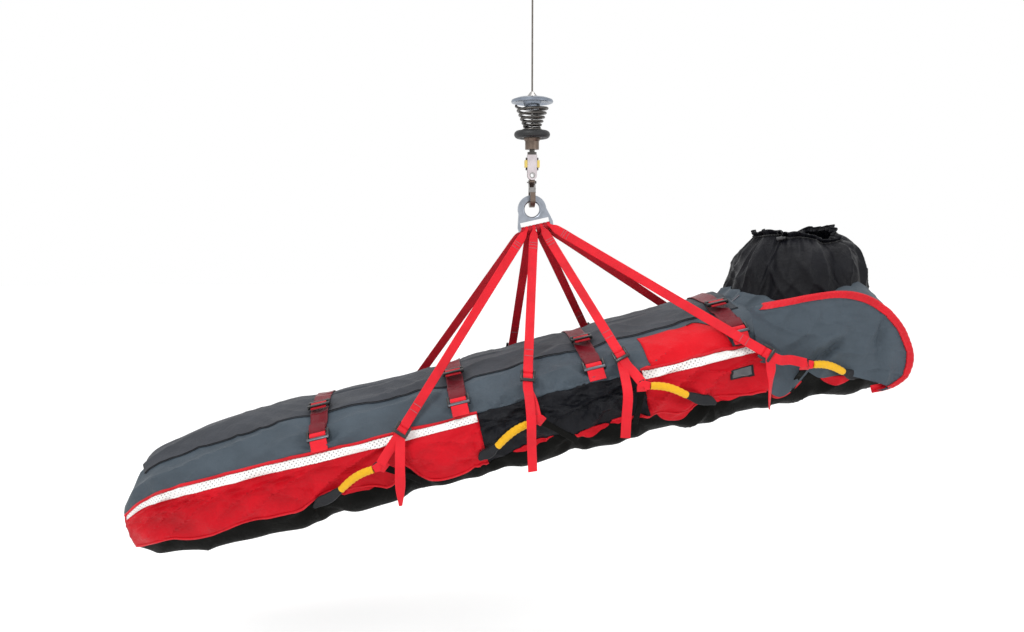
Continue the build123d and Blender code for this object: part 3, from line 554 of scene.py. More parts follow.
def reflective_tape(name):
    """White glass-bead tape with rows of small dark perforations."""
    look = Look(name)
    uv = look.coords.outputs["UV"]
    pitch = 0.0085
    grid = look.add("ShaderNodeMapping", {"Vector": uv, "Scale": (1 / pitch, 1 / pitch, 1),
                                          "Rotation": (0, 0, 0.785)})
    cell = look.add("ShaderNodeVectorMath", {0: grid.outputs[0]}, operation="FRACTION")
    centred = look.add("ShaderNodeVectorMath", {0: cell.outputs[0], 1: (0.5, 0.5, 0)}, operation="SUBTRACT")
    distance = look.add("ShaderNodeVectorMath", {0: centred.outputs[0]}, operation="LENGTH").outputs["Value"]
    patchy = look.noise(18.0, 3.0)
    hole = look.maths("LESS_THAN", distance, 0.21)
    worn = look.between(patchy, 0.15, 0.85, From_Min=0.38, From_Max=0.55)
    shown = look.maths("MULTIPLY", hole, worn)
    tone = look.mix(shown, (0.78, 0.78, 0.76), (0.10, 0.10, 0.11))
    look.set(Base_Color=tone, Roughness=0.38, Sheen_Weight=0.1,
             Normal=look.bump(look.maths("SUBTRACT", 1.0, shown), 0.0003, 0.5))
    return look.mat


def make_looks():
    return {
        "panel_red": fabric("red_cloth", (0.50, 0.002, 0.010), 0.52, sheen=0.0, contrast=0.20, specular=0.15),
        "pocket_red": fabric("pocket_cloth", (0.62, 0.003, 0.011), 0.54, sheen=0.0, contrast=0.10,
                             specular=0.15),
        "slate_fabric": fabric("slate_cloth", (0.052, 0.070, 0.088), 0.54, sheen=0.02, contrast=0.18,
                               specular=0.25),
        "flap_charcoal": fabric("charcoal_cloth", (0.040, 0.044, 0.053), 0.58, sheen=0.02, specular=0.22),
        "base_black": fabric("base_cloth", (0.0036, 0.0036, 0.0031), 0.50, sheen=0.0, contrast=0.35,
                             specular=0.05),
        "mesh_grey": fabric("mesh_cloth", (0.0060, 0.0065, 0.0090), 0.38, pitch=0.0022, sheen=0.0,
                            contrast=0.5, crumple=0.002, specular=0.14),
        "hood_fabric": fabric("hood_cloth", (0.0050, 0.0052, 0.0075), 0.36, sheen=0.0, contrast=0.4,
                              crumple=0.0012, specular=0.13),
        "binding_red": webbing("binding_tape", (0.60, 0.004, 0.014), sheen=0.01),
        "sling_red": webbing("bright_webbing", (0.70, 0.006, 0.018), sheen=0.02),
        # A darker copy of the leg webbing for the far legs, adjusters and tails: painted shade, as they hang
        # on the shaded far side.
        "sling_dark_red": webbing("webbing_painted_shade", (0.42, 0.005, 0.014), sheen=0.01),
        "strap_red": webbing("wide_webbing", (0.145, 0.003, 0.010), rough=0.36, sheen=0.02),
        "tab_grey": fabric("tab_cloth", (0.0080, 0.0090, 0.0115), 0.6, pitch=0.0016, sheen=0.03,
                           specular=0.25),
        "grip_yellow": fabric("grip_cloth", (0.78, 0.42, 0.006), 0.66, pitch=0.0024, sheen=0.06,
                              contrast=0.10),
        "thread": moulded("grey_thread", (0.20, 0.18, 0.20), 0.7),
        "tape_white": reflective_tape("bead_tape"),
        "patch_grey": fabric("patch_cloth", (0.11, 0.12, 0.13), 0.6, pitch=0.0014),
        "cord_black": fabric("elastic_cord", (0.010, 0.010, 0.011), 0.6, pitch=0.0012),
        "mattress_cover": fabric("mattress_cloth", (0.50, 0.12, 0.015), 0.5),
        "board_plastic": moulded("board", (0.5, 0.5, 0.47), 0.5),
        "zip_black": moulded("zip_plastic", (0.012, 0.012, 0.014), 0.35),
        "buckle_metal": metal("buckle_steel", (0.115, 0.12, 0.135), 0.36),
        "buckle_black": moulded("buckle_black", (0.006, 0.006, 0.007), 0.36, 0.2),
        "bare_steel": metal("bare_steel", (0.36, 0.35, 0.34), 0.28),
        "wire": metal("wire_steel", (0.16, 0.145, 0.13), 0.38),
        "dark_steel": metal("dark_steel", (0.10, 0.094, 0.088), 0.36),
        "bronze_steel": metal("forged_steel", (0.17, 0.13, 0.105), 0.42, stretch=(1, 1, 1), stain=0.4),
        "bumper_alloy": metal("bumper_alloy", (0.22, 0.25, 0.30), 0.26),
        "link_alloy": metal("link_alloy", (0.34, 0.37, 0.42), 0.30, stretch=(1, 1, 1), stain=0.25),
        "hand_rubber": moulded("hand_rubber", (0.008, 0.009, 0.010), 0.5),
        "block_paint": moulded("block_paint", (0.50, 0.45, 0.465), 0.42),
        "cheek_yellow": moulded("cheek_pad", (0.62, 0.47, 0.11), 0.55),
    }


looks = make_looks()


# ---- camera, light and floor
def studio():
    cam = bpy.data.cameras.new("camera")
    cam.sensor_width = 36.0
    cam.lens = 27.25
    cam.clip_start = 0.05
    holder = bpy.data.objects.new("camera", cam)
    holder.location = (-0.25, -2.21, -0.69)
    holder.rotation_euler = (math.radians(90 - 6.8), 0, math.radians(-5.0))
    bpy.context.scene.collection.objects.link(holder)
    bpy.context.scene.camera = holder
    world = bpy.data.worlds.new("world")
    bpy.context.scene.world = world
    world.use_nodes = True
    world.node_tree.nodes["Background"].inputs[0].default_value = (1, 1, 1, 1)
    world.node_tree.nodes["Background"].inputs[1].default_value = 1.0
    for name, place, aim, size, power in (
            ("key", (-1.5, -2.4, 1.5), (0, 0, -1.1), 1.2, 46),
            ("fill", (2.4, -2.4, -0.2), (0.2, 0, -1.1), 1.6, 12),
            ("top", (0.3, 0.5, 2.0), (0, 0, -1.1), 1.8, 26)):
        data = bpy.data.lights.new(name, "AREA")
        data.shape = "DISK"
        data.size = size
        data.energy = power
        lamp = bpy.data.objects.new(name, data)
        lamp.location = place
        lamp.rotation_euler = (Vector(aim) - Vector(place)).to_track_quat("-Z", "Y").to_euler()
        bpy.context.scene.collection.objects.link(lamp)
    mesh = bpy.data.meshes.new("floor")
    half, z = 14.0, cad_box[0][2] - 0.35
    corners = [(-half, -half, z), (half, -half, z), (half, half, z), (-half, half, z)]
    mesh.from_pydata(corners, [], [(0, 1, 2, 3)])
    floor = bpy.data.objects.new("floor", mesh)
    bpy.context.scene.collection.objects.link(floor)
    look = Look("floor_white")
    look.set(Base_Color=look.ramp(look.noise(0.6), [(0.0, (0.83, 0.83, 0.83)), (1.0, (0.87, 0.87, 0.87))]),
             Roughness=0.9, Emission_Color=(1, 1, 1, 1), Emission_Strength=0.25)
    mesh.materials.append(look.mat)
    bpy.context.scene.view_settings.view_transform = "Standard"


studio()


# ---- hoist line
def wire_rope():
    """Six strands laid round a straight core, along the centreline of a taut spline."""
    top, foot = -0.027, -0.325
    route = [(0, 0, foot), (0, 0, foot + 0.03), (0, 0, (top + foot) / 2), (0, 0, top - 0.03), (0, 0, top)]
    data = bpy.data.curves.new("rope_route", "CURVE")
    data.dimensions = "3D"
    spline = data.splines.new("NURBS")
    spline.points.add(len(route) - 1)
    for point, place in zip(spline.points, route):
        point.co = (*place, 1)
    spline.order_u = 3
    spline.use_endpoint_u = True
    guide = bpy.data.objects.new("rope_route", data)
    bpy.context.scene.collection.objects.link(guide)
    line = bpy.data.meshes.new_from_object(guide)
    bpy.data.objects.remove(guide)
    z = np.linspace(foot, top, 150)
    rope = Piece(local=False)
    for k in range(6):
        angle = 2 * math.pi * (k / 6 + (z - foot) / 0.034)
        points = np.stack([0.00165 * np.cos(angle), 0.00165 * np.sin(angle), z], -1)
        tube(rope, points, 0.00085, sides=8, smooth=False)
    tube(rope, np.stack([0 * z, 0 * z, z], -1)[::10], 0.0011, sides=8, smooth=False)
    piece = rope.build("wire_strands", [looks["wire"]], "hoist_line", "bare_steel", ["hoist_wire_rope"],
                       sharp=80)


wire_rope()


# ---- bag panels
def seam_rail(u):
    """Where the black base meets the side: pulled up and down between the loops' tabs."""
    low = np.clip((-1.02 - np.asarray(u)) / 0.14, 0, 1) ** 1.5
    pulled = 0.45 * bump(u, 0.43, 0.06) + 0.80 * bump(u, -0.378, 0.020) - 0.50 * bump(u, -0.285, 0.06)
    return 3.0 + 0.20 * np.sin(u * 9.5 + 0.6) + 0.12 * np.sin(u * 23 + 2.0) + pulled - 1.1 * low


def head_seam(u):
    return 3.15 + 0.75 * bump(np.asarray(u), 0.692, 0.026)


def mirrored(function):
    return lambda u: -function(u)


def panels():
    base = Piece()
    patch(base, FOOT_U, NECK_U + 0.01, mirrored(seam_rail), seam_rail, rail_step=0.08)
    patch(base, NECK_U - 0.01, 0.97, mirrored(head_seam), head_seam, out=0.0005, head=True, rail_step=0.08)
    foot_cap(base)
    base.sew("base_cloth", "base_black", ["base_tub"], thick=PANEL)
    for name, spans, key in (("red_sides", ((FOOT_U, MESH_FROM), (MESH_TO, NECK_U + 0.006)), "panel_red"),
                             ("mesh_sides", ((MESH_FROM, MESH_TO),), "mesh_grey")):
        piece = Piece()
        for u0, u1 in spans:
            patch(piece, u0, u1, seam_rail, SIDE_TOP)
            patch(piece, u0, u1, mirrored(seam_rail), -SIDE_TOP)
        node = {"red_sides": "red_side_panels", "mesh_sides": "mesh_side_panels"}[name]
        piece.sew(name, key, [node], thick=PANEL)
    top = Piece()
    for side in (-1, 1):
        patch(top, FOOT_U, NECK_U + 0.02, side * SIDE_TOP, side * 9.87)
    top.sew("slate_tops", "slate_fabric", ["top_panels"], thick=PANEL)


def foot_cap(piece):
    """The crowned end wall of the foot."""
    i = np.linspace(-CREST, CREST, 121)[None, :]
    t = np.linspace(0.0, 1.0, 12)[:, None]
    rim = skin(np.full_like(i, FOOT_U), i)
    centre = np.array([FOOT_U - 0.012, 0.0, -0.085])
    points = centre + (rim - centre) * (1 - t[..., None] * 0.98)
    points[..., 0] -= 0.014 * np.sin(t * math.pi / 2)
    piece.grid(points[:, ::-1], metric_uv(points))


def flap_lift(t):
    """The storm flap stands a little off the bag, most at its middle."""
    return 0.0035 + 0.0125 * np.sin(np.pi * t) ** 1.2


def storm_flap():
    flap = Piece()
    patch(flap, -1.09, 0.60, -8.0, -12.0, out=flap_lift, rail_step=0.07)
    piece = flap.sew("storm_flap", "flap_charcoal", ["zip_flap"], thick=0.0022)
    # A thin black cord along both edges of the flap: painted shade in the crease where the flap meets the
    # slate.
    edge_shade = Piece()
    u = np.linspace(-1.09, 0.60, 260)
    for i in (-8.04, 8.04):
        tube(edge_shade, skin(u, np.full_like(u, i), 0.0032), 0.0016, sides=6, smooth=False)
    edge_shade.sew("flap_edge_shade", "base_black")


def trims():
    tape = Piece()
    for u0, u1 in ((-1.15, MESH_FROM - 0.002), (MESH_TO + 0.002, NECK_U - 0.010)):
        for side in (-1, 1):
            patch(tape, u0, u1, side * 5.22, side * 5.92, out=0.0011, rail_step=0.07, step=0.006)
    tape.sew("bead_tapes", "tape_white", ["reflective_tapes"], thick=0.0007)
    piping = Piece()
    for side in (-1, 1):
        for u0, u1 in ((-1.155, MESH_FROM), (MESH_TO, NECK_U - 0.008)):
            v = np.linspace(u0, u1, int((u1 - u0) / 0.006))
            tube(piping, skin(v, side * (6.03 + 0 * v), 0.001), 0.0042, sides=8, smooth=False)
            tube(piping, skin(v, side * (seam_rail(v) + 0.02), 0.0005), 0.0030, sides=8, smooth=False)
        v = np.linspace(MESH_TO - 0.10, MESH_TO, 22)
        tube(piping, skin(v, side * (seam_rail(v) + 0.02), 0.0005), 0.0030, sides=8, smooth=False)
    piping.sew("red_piping", "binding_red")


def pocket():
    """The red pocket over the slate, with a rounded head-end corner, a seam and a short zip pull."""
    flap = Piece()
    rows = []
    for u in np.linspace(0.302, 0.528, 30):
        top = 7.75 - max(0.0, (u - 0.455) / 0.073) ** 2.2 * 1.45
        i = np.linspace(6.0, top, 16)
        rows.append(skin(np.full_like(i, u), -i, 0.0022))
    points = np.array(rows)
    flap.grid(points[:, ::-1], metric_uv(points))
    flap.sew("pocket_front", "pocket_red", ["upper_pocket"], "panel_red", thick=0.0014)
    trim = Piece()
    edge = points[:, -1]
    tube(trim, edge[18:], 0.0022, sides=8)
    tube(trim, np.array([points[24, -1], points[24, -1] + np.array([0.006, -0.006, -0.012]),
                         points[24, -1] + np.array([0.008, -0.007, -0.034])]), 0.0022, sides=8)
    trim.sew("pocket_zip", "zip_black")


def patch_label():
    """A blank woven patch: dark border, plain pale middle."""
    label = Piece()
    layers = ((0.503, 0.567, 3.70, 4.32, 0.0018), (0.509, 0.561, 3.77, 4.25, 0.0024))
    for k, (u0, u1, i0, i1, out) in enumerate(layers):
        u = np.linspace(u0, u1, 18)[:, None]
        i = np.linspace(i0, i1, 12)[None, :]
        points = skin(u + 0 * i, -(i + 0 * u), out)
        label.grid(points[:, ::-1], metric_uv(points), mat=k)
    label.sew("plain_patch", ("tab_grey", "patch_grey"), ["blank_patch"], "patch_grey", thick=0.0014)


panels()
storm_flap()
trims()
pocket()
patch_label()


# ---- head block
HEAD_EDGE = np.array([(0.604, 0.150), (0.680, 0.146), (0.760, 0.142), (0.830, 0.134), (0.875, 0.121),
                      (0.920, 0.096), (0.960, 0.056), (0.988, 0.012), (1.004, -0.032),
                      (1.010, -0.070), (1.004, -0.104),
                      (0.985, -0.132), (0.950, -0.150), (0.880, -0.152)])


def edge_path(points, n):
    gaps = np.concatenate([[0], np.cumsum(np.linalg.norm(np.diff(points, axis=0), axis=1))])
    s = np.linspace(0, gaps[-1], n)
    return np.stack([curve(gaps, points[:, 0], s), curve(gaps, points[:, 1], s)], -1)


HEAD_FOOT = np.array([(0.588, 0.150), (0.588, 0.040), (0.590, -0.070), (0.625, -0.104), (0.655, -0.096),
                      (0.678, -0.050), (0.706, -0.052), (0.738, -0.078), (0.800, -0.086),
                      (0.872, -0.118), (0.915, -0.140), (0.948, -0.151)])
EDGE = edge_path(HEAD_EDGE, 150)
EDGE_FOOT = edge_path(HEAD_FOOT, 150)


def head_side(t, side):
    """One line of the side panel, from its sewn foot (t 0) to its bound edge (t 1)."""
    line = EDGE_FOOT * (1 - t) + EDGE * t
    slump = np.clip((0.78 - line[:, 0]) / 0.15, 0, 1) ** 1.5 * np.clip((line[:, 1] - 0.02) / 0.10, 0, 1)
    u, w = line[:, 0], line[:, 1] - (0.062 * slump if side > 0 else 0.0)
    half = curve(HEAD_STATIONS[:, 0], HEAD_STATIONS[:, 1], u)
    soft = (0.007 * noise_at(u * 6 + side, w * 7, 41.0) + 0.016 * folds(u, w, 42.0 + side, 0.65, 0.22, 0.080)
            + 0.008 * folds(u, w, 44.0 + side, -0.4, 0.14, 0.05)
            - 0.022 * bump(u, 0.785, 0.046) * bump(w - 0.4 * (u - 0.785), -0.015, 0.017)
            + 0.007 * bump(u, 0.80, 0.06) * bump(w - 0.4 * (u - 0.80), 0.03, 0.022)
            - 0.016 * bump(u - 0.25 * w, 0.930, 0.015) * bump(w, -0.01, 0.075))
    fade = min(max(t, 0.03), 1 - t + 0.02) * 4
    across = half * 0.985 + 0.008 * math.sin(math.pi * t) + soft * min(fade, 1.0) ** 0.6
    return np.stack([u, side * across, w], -1)


def head_sides():
    piece = Piece()
    for side in (-1, 1):
        points = np.array([head_side(t, side) for t in np.linspace(0, 1, 60)])
        piece.grid(points if side < 0 else points[:, ::-1], metric_uv(points))
    piece.sew("head_sides", "slate_fabric", ["head_side_panels"], thick=PANEL)


def head_end():
    """One crowned sheet over the end from the near bound edge to the far one."""
    line = edge_path(HEAD_EDGE[3:13], 60)
    rows = []
    for u, w in line:
        half = float(curve(HEAD_STATIONS[:, 0], HEAD_STATIONS[:, 1], u)) * 0.985 - 0.002
        v = np.linspace(-half, half, 90)
        reach = min(max((u - 0.82) / 0.10, 0.0), 1.0)
        crown = (0.014 + 0.034 * bump(u, 0.900, 0.05)) * (1 - (v / half) ** 4) * reach
        soft = (0.012 * folds(v, np.full_like(v, w), 51.0, 1.45, 0.26, 0.07)
                + 0.006 * noise_at(v * 7, w * 7, 53.0))
        away = np.clip((half - np.abs(v)) / 0.03, 0, 1)
        lift = crown + soft * away
        normal = np.array([u - 0.86, w + 0.02])
        normal = normal / np.linalg.norm(normal)
        rows.append(np.stack([u - 0.004 + lift * normal[0], v, w + lift * normal[1]], -1))
    points = np.array(rows)
    end = Piece()
    end.grid(points[:, ::-1], metric_uv(points))
    end.sew("head_end", "slate_fabric", ["head_end_panel"], thick=PANEL)


def head_binding():
    """Red tape folded over the bound edge: out over the side panel, round the edge, and in."""
    tangent = np.gradient(EDGE, axis=0)
    tangent /= np.linalg.norm(tangent, axis=1, keepdims=True)
    beyond = np.stack([-tangent[:, 1], tangent[:, 0]], -1)
    piece = Piece()
    for side in (-1, 1):
        edge = head_side(1.0, side)
        count = np.arange(len(edge))
        ripple = 0.0008 * np.sin(count * 1.9) + 0.0012 * noise_at(count * 0.3, side, 2.0)
        gaps = np.linalg.norm(EDGE - EDGE_FOOT, axis=1)
        rows = []
        for reach in (0.019, 0.0185, 0.012, 0.006, 0.001):
            line = np.stack([head_side(1 - float(reach / g), side)[k] for k, g in enumerate(gaps)])
            lift = 0.0006 if reach == 0.019 else 0.0042
            line[:, 1] += side * (lift + ripple)
            rows.append(line)
        for out, lift in ((0.0032, 0.0010 + ripple), (0.0042, -0.0020 + ripple), (0.0036, -0.0060 + ripple),
                          (-0.004, -0.0080), (-0.016, -0.0080), (-0.016, -0.0060), (-0.006, -0.0050)):
            line = edge.copy()
            line[:, 0] += beyond[:, 0] * out
            line[:, 2] += beyond[:, 1] * out
            line[:, 1] += side * lift
            rows.append(line)
        points = np.array(rows).transpose(1, 0, 2)[4:]
        uv = metric_uv(np.concatenate([points, points[:, :1]], 1))
        piece.grid(points if side > 0 else points[:, ::-1], uv, ring=True, caps=True)
    piece.sew("bound_edge", "binding_red", ["red_binding"])


# ---- hood
COLLAR_U, RIM_W, RIM_R = 0.842, 0.276, 0.122
COLLAR = np.array([(0.096, 0.208, 0.243), (0.112, 0.198, 0.236), (0.150, 0.190, 0.226), (0.200, 0.176, 0.204),
                   (0.245, 0.146, 0.168), (0.272, 0.108, 0.124)])


def pleats(angle, t):
    """Radial folds: broad ones low down, many narrow gathers at the drawn rim."""
    drift = 0.35 * np.sin(5 * t + 2 * angle)
    broad = (0.5 * np.cos(7 * angle + 1.1 * np.sin(2 * angle) + drift)
             + 0.5 * np.cos(12 * angle + 0.9 * np.cos(3 * angle) + 1.0 - drift))
    fine = np.cos(27 * angle + 1.3 * np.sin(5 * angle) + drift) + 0.5 * np.cos(43 * angle + np.sin(7 * angle))
    return (0.023 * broad * np.sin(np.pi * np.clip(t * 0.86, 0, 1)) ** 0.7 * (0.35 + 0.65 * t)
            + 0.0055 * fine * np.clip((t - 0.58) / 0.42, 0, 1) ** 1.5)


def rim_height(angle):
    return (-0.021 * np.cos(angle) + 0.014 * np.cos(2 * angle - 0.7) + 0.005 * np.cos(3 * angle - 1.0)
            + 0.003 * np.cos(7 * angle))


def hood_points(angle, t):
    w = curve(np.linspace(0, 1, len(COLLAR)), COLLAR[:, 0], t)
    a = curve(np.linspace(0, 1, len(COLLAR)), COLLAR[:, 1], t)
    b = curve(np.linspace(0, 1, len(COLLAR)), COLLAR[:, 2], t)
    middle = np.sin(np.pi * np.clip(t, 0, 1))
    soft = pleats(angle, t) + 0.012 * folds(angle * 0.2, w, 61.0, 1.2, 0.22, 0.060) * middle
    soft = soft + 0.006 * folds(angle * 0.2, w, 66.0, -0.9, 0.16, 0.045) * middle - 0.004
    soft = np.clip(soft + 0.003 * noise_at(angle * 3, t * 4, 63.0), -0.030, 0.011)
    lean = 0.018 + 0.044 * (w - RIM_W) / 0.168
    height = w + rim_height(angle) * np.clip(t, 0, 1) ** 1.6
    return np.stack([COLLAR_U + lean + (a + soft) * np.cos(angle), (b + soft) * np.sin(angle), height], -1)


def hood():
    angle = np.linspace(0, 2 * math.pi, 481)[None, :-1]
    t = np.linspace(0, 1, 60)[:, None]
    outer = hood_points(angle + 0 * t, t + 0 * angle)
    rim = outer[-1]
    centre = rim.mean(axis=0)
    away = (rim - centre) / np.linalg.norm(rim - centre, axis=1, keepdims=True)
    frill = []
    for k, (rise, spread) in enumerate(((0.003, 0.004), (0.007, 0.009), (0.011, 0.011), (0.014, 0.009))):
        wave = 0.0026 * np.cos(27 * angle[0] + 1.4 * np.sin(4 * angle[0])) + 0.0012 * np.cos(43 * angle[0])
        lift = rise * (0.9 + 0.15 * np.cos(9 * angle[0]))
        frill.append(rim + away * (spread * 0.7 + wave * (k + 1) / 4)[:, None]
                     + np.array([0, 0, 1.0]) * lift[:, None])
    points = np.concatenate([outer, np.array(frill)])
    closed = np.concatenate([points, points[:, :1]], 1)
    piece = Piece()
    piece.grid(points, metric_uv(closed), ring=True)
    made = piece.sew("hood_cloth", "hood_fabric", ["head_collar"],
                       thick=0.0016, sharp=70)


def neck_rise():
    """Slate cloth that climbs from the bag's top to the hood's foot-side half."""
    turn = np.linspace(math.radians(118), math.radians(242), 70)
    rail = 6.6 + (9.9 - 6.6) * (1 - np.abs((turn - math.pi) / math.radians(62)) ** 1.5)
    low = skin(np.full_like(turn, 0.548), np.where(turn > math.pi, -rail, rail), 0.001)
    high = hood_points(turn, 0.44 - 0.20 * np.abs((turn - math.pi) / math.radians(62)) ** 2)
    high[:, :2] = (high[:, :2] - [COLLAR_U, 0]) * 1.03 + [COLLAR_U, 0]
    rows = []
    for t in np.linspace(0, 1, 18):
        line = low * (1 - t) + high * t
        line[:, 2] -= 0.018 * math.sin(math.pi * t)
        soft = 0.009 * folds(turn * 0.25, np.full_like(turn, t * 0.2), 71.0, 1.2, 0.2, 0.06)
        line[:, 0] += soft * math.sin(math.pi * t)
        rows.append(line)
    points = np.array(rows)
    piece = Piece()
    piece.grid(points, metric_uv(points))
    piece.sew("neck_rise", "slate_fabric", thick=0.0025)
    piping = Piece()
    for column in (46, 23):
        tube(piping, points[2:16, column] + np.array([0, 0, 0.002]), 0.0012, sides=8)
    piping.sew("neck_piping", "thread", slot="patch_grey")


def hood_cord():
    angle = np.linspace(0, 2 * math.pi, 241)
    rim = hood_points(angle, np.full_like(angle, 0.985))
    centre = rim.mean(axis=0)
    away = (rim - centre) / np.linalg.norm(rim - centre, axis=1, keepdims=True)
    piece = Piece()
    tube(piece, rim + away * 0.0022, 0.0019, sides=8, smooth=False)
    lock = math.radians(235)
    reach = RIM_R - 0.002
    spot = np.array([COLLAR_U + reach * math.cos(lock), reach * math.sin(lock), RIM_W + 0.028])
    side = np.array([-math.sin(lock), math.cos(lock), 0])
    turn = np.linspace(-2.4, 2.4, 40)
    loop = (spot + side * (0.008 * np.sin(turn))[:, None]
            + np.array([0, 0, 1]) * (0.008 * np.cos(turn))[:, None])
    tube(piece, loop, 0.0014, sides=8)
    piece.sew("hood_cord", "cord_black", ["collar_drawcord"])


def mattress():
    """The quilted vacuum mattress in the tub; the board under it is the CAD's own."""
    quilt = Piece()
    rows = []
    for u in np.linspace(-1.085, 0.925, 150):
        table = STATIONS if u <= 0.6 else HEAD_STATIONS
        half = float(curve(table[:, 0], table[:, 1], u)) * 0.78 - 0.010
        low = float(curve(table[:, 0], table[:, 2], u))
        angle = np.linspace(0, 2 * math.pi, 48, endpoint=False)
        end = min(1.0, math.sqrt(max(0.02, min(u + 1.087, 0.927 - u) / 0.03)))
        v = half * np.sign(np.cos(angle)) * np.abs(np.cos(angle)) ** 0.4
        w = 0.019 * np.sign(np.sin(angle)) * np.abs(np.sin(angle)) ** 0.7 * end
        channel = 0.003 * np.abs(np.sin(v * 52)) + 0.002 * abs(math.sin(u * 26))
        rows.append(np.stack([np.full_like(v, u), v, low + 0.046 + w + np.sign(w) * (channel - 0.004)], -1))
    points = np.array(rows)
    quilt.grid(points, metric_uv(np.concatenate([points, points[:, :1]], 1)), ring=True, caps=True)
    made = quilt.sew("quilted_mattress", "mattress_cover", ["vacuum_mattress"])


head_sides()
head_end()
head_binding()
hood_cord()
hood()
neck_rise()
mattress()


# ---- webbing and buckles
def near_side(u, w, out):
    """The near skin of the plain section at height w, moved out across the bag."""
    table, rails = (HEAD_STATIONS, HEAD_RAILS) if u > 0.6 else (STATIONS, RAILS)
    half, low, high = (float(np.interp(u, table[:, 0], table[:, k])) for k in (1, 2, 3))
    across = float(np.interp((w - low) / (high - low), rails[2:, 1], rails[2:, 0]))
    return np.array([u, -(across * half + out), w])


def unit(v):
    return v / np.linalg.norm(v)


def flip(v, far):
    return np.array([v[0], -v[1], v[2]]) if far else np.asarray(v, float)


def leg_frame(k, far):
    """Start, buckle, run, face normal and bar direction of leg k, in the bag's axes."""
    index = 2 * k + (0 if far else 1)
    start = LINK_AT + np.array([(index - 3.5) * (2 * SLOT_HALF / 8), 0, BAR_Z])
    u, w = LEG_BUCKLES[k]
    buckle = flip(near_side(u, w, BUCKLE_OUT[k]), far)
    run = unit(buckle - start)
    normal = np.array([0, 1.0 if far else -1.0, 0])
    across = unit(np.cross(normal, run))
    face = unit(np.cross(run, across))
    return start, buckle, run, face, across


def sling_leg(piece, thread, k, far):
    """One leg: over the link's bar and sewn back on itself; round the lock's bar and sewn again."""
    start, buckle, run, face, _ = leg_frame(k, far)
    outside = np.array([0, 1.0 if far else -1.0, 0])
    up = np.array([0, 0, 1.0])
    r = BAR_R + WEB / 2 + 0.0004
    narrow, wide = 0.0098, WIDE
    stops = [(start + run * 0.085 - face * 0.0030, face, wide),
             (start + run * 0.040 - face * 0.0032, face, wide * 0.9)]
    for t in np.linspace(0.6, math.pi - 0.2, 7):
        spot = start - outside * math.cos(t) * r + up * math.sin(t) * r
        stops.append((spot, unit(spot - start), narrow))
    stops += [(start + outside * r + run * 0.006, outside, narrow),
              (start + outside * (r - 0.001) + run * 0.022, unit(outside + face), wide * 0.86),
              (start + run * 0.042 + outside * 0.003, face, wide),
              (start + run * 0.085 + face * 0.0010, face, wide),
              (start + (buckle - start) * 0.5, face, wide), (buckle - run * 0.060, face, wide),
              (buckle - run * 0.014 + face * 0.0012, face, wide)]
    for t in np.linspace(-0.3, math.pi * 0.9, 7):
        direction = math.cos(t) * face + math.sin(t) * run
        stops.append((buckle + direction * 0.0046, direction, wide))
    stops += [(buckle - run * back - face * 0.0030, -face, wide) for back in (0.018, 0.078)]
    points, normals, widths = zip(*stops)
    path, side, out = strap(piece, np.array(points), np.array(normals), widths, thick=WEB * 0.85, step=0.0035)
    down = (path - start) @ run
    shown = np.arange(len(path)) > int(np.argmin(down))
    length = float((buckle - start) @ run)
    for first in (0.050, length - 0.062):
        for r in range(3):
            spot = int(np.argmin(np.abs(down - first - 0.0085 * r) + np.where(shown, 0, 9)))
            bar_of_thread(thread, path[spot] + out[spot] * (WEB * 0.43 + 0.0002), side[spot], run, out[spot])


def bar_of_thread(thread, centre, across, along, out, half=0.0108):
    """A narrow zigzag of thread across a strap."""
    n = 13
    x = np.linspace(-half, half, n)
    zigzag = np.where(np.arange(n) % 2, 0.0007, -0.0007)
    points = centre + across * x[:, None] + along * zigzag[:, None]
    tube(thread, points, 0.00055, sides=5, smooth=False)


def ladder_lock(piece, centre, along, up, out, half, pitch, grey=1, black=0, lip=0.0, grey_lip=False):
    """Two black rails joined by three bars; a lip bar stands out over the webbing at the foot."""
    width = half + 0.0036
    end = up * (pitch + 0.0035)
    for s in (-1, 1):
        rail = centre + along * s * width + out * 0.0008
        rounded_bar(piece, rail - end, rail + end, 0.0034, 0.0042, out, black)
    for n, mat in ((-1, black), (0, grey), (1, black)):
        spot = centre + up * (n * pitch)
        rounded_bar(piece, spot - along * width, spot + along * width, 0.0024, 0.0021, out, mat)
    if lip:
        spot = centre - up * (pitch - 0.001) + out * lip
        reach = along * (width + 0.0026)
        rounded_bar(piece, spot - reach, spot + reach, 0.0042, 0.0026, out, grey if grey_lip else black)


def skin_frame(u, rail):
    """On the near skin: along the bag, up the strap, and out of it."""
    low, high = shape(u, -(rail - 0.3)), shape(u, -(rail + 0.3))
    up = unit(high - low)
    along = np.array([1.0, 0, 0])
    return shape(u, -rail), along, up, np.cross(along, up)


def sling():
    # The far legs take the darker copy of the webbing: painted shade.
    for far, name, key in ((False, "near", "sling_red"), (True, "far", "sling_dark_red")):
        legs, thread = Piece(), Piece()
        for k in range(4):
            sling_leg(legs, thread, k, far)
        legs.sew(f"legs_{name}", key, [f"sling_legs_{name}"])
        thread.sew(f"leg_stitches_{name}", "thread", slot=key)
    locks, links = Piece(), Piece()
    for far in (False, True):
        for k in range(4):
            _, buckle, run, face, across = leg_frame(k, far)
            ladder_lock(locks, buckle + run * LOCK_PITCH, across, -run, face, SLING_HALF + 0.0005, LOCK_PITCH,
                        lip=0.0058)
            # Far adjusters take the darker copy of the webbing: painted shade.
            adjuster(links, k, far, 1 if far else 0)
    locks.sew("leg_locks", ("buckle_black", "buckle_metal"), ["leg_buckles"], "buckle_metal")
    links.sew("adjuster_webbing", ("sling_red", "sling_dark_red"), ["leg_adjusters"])


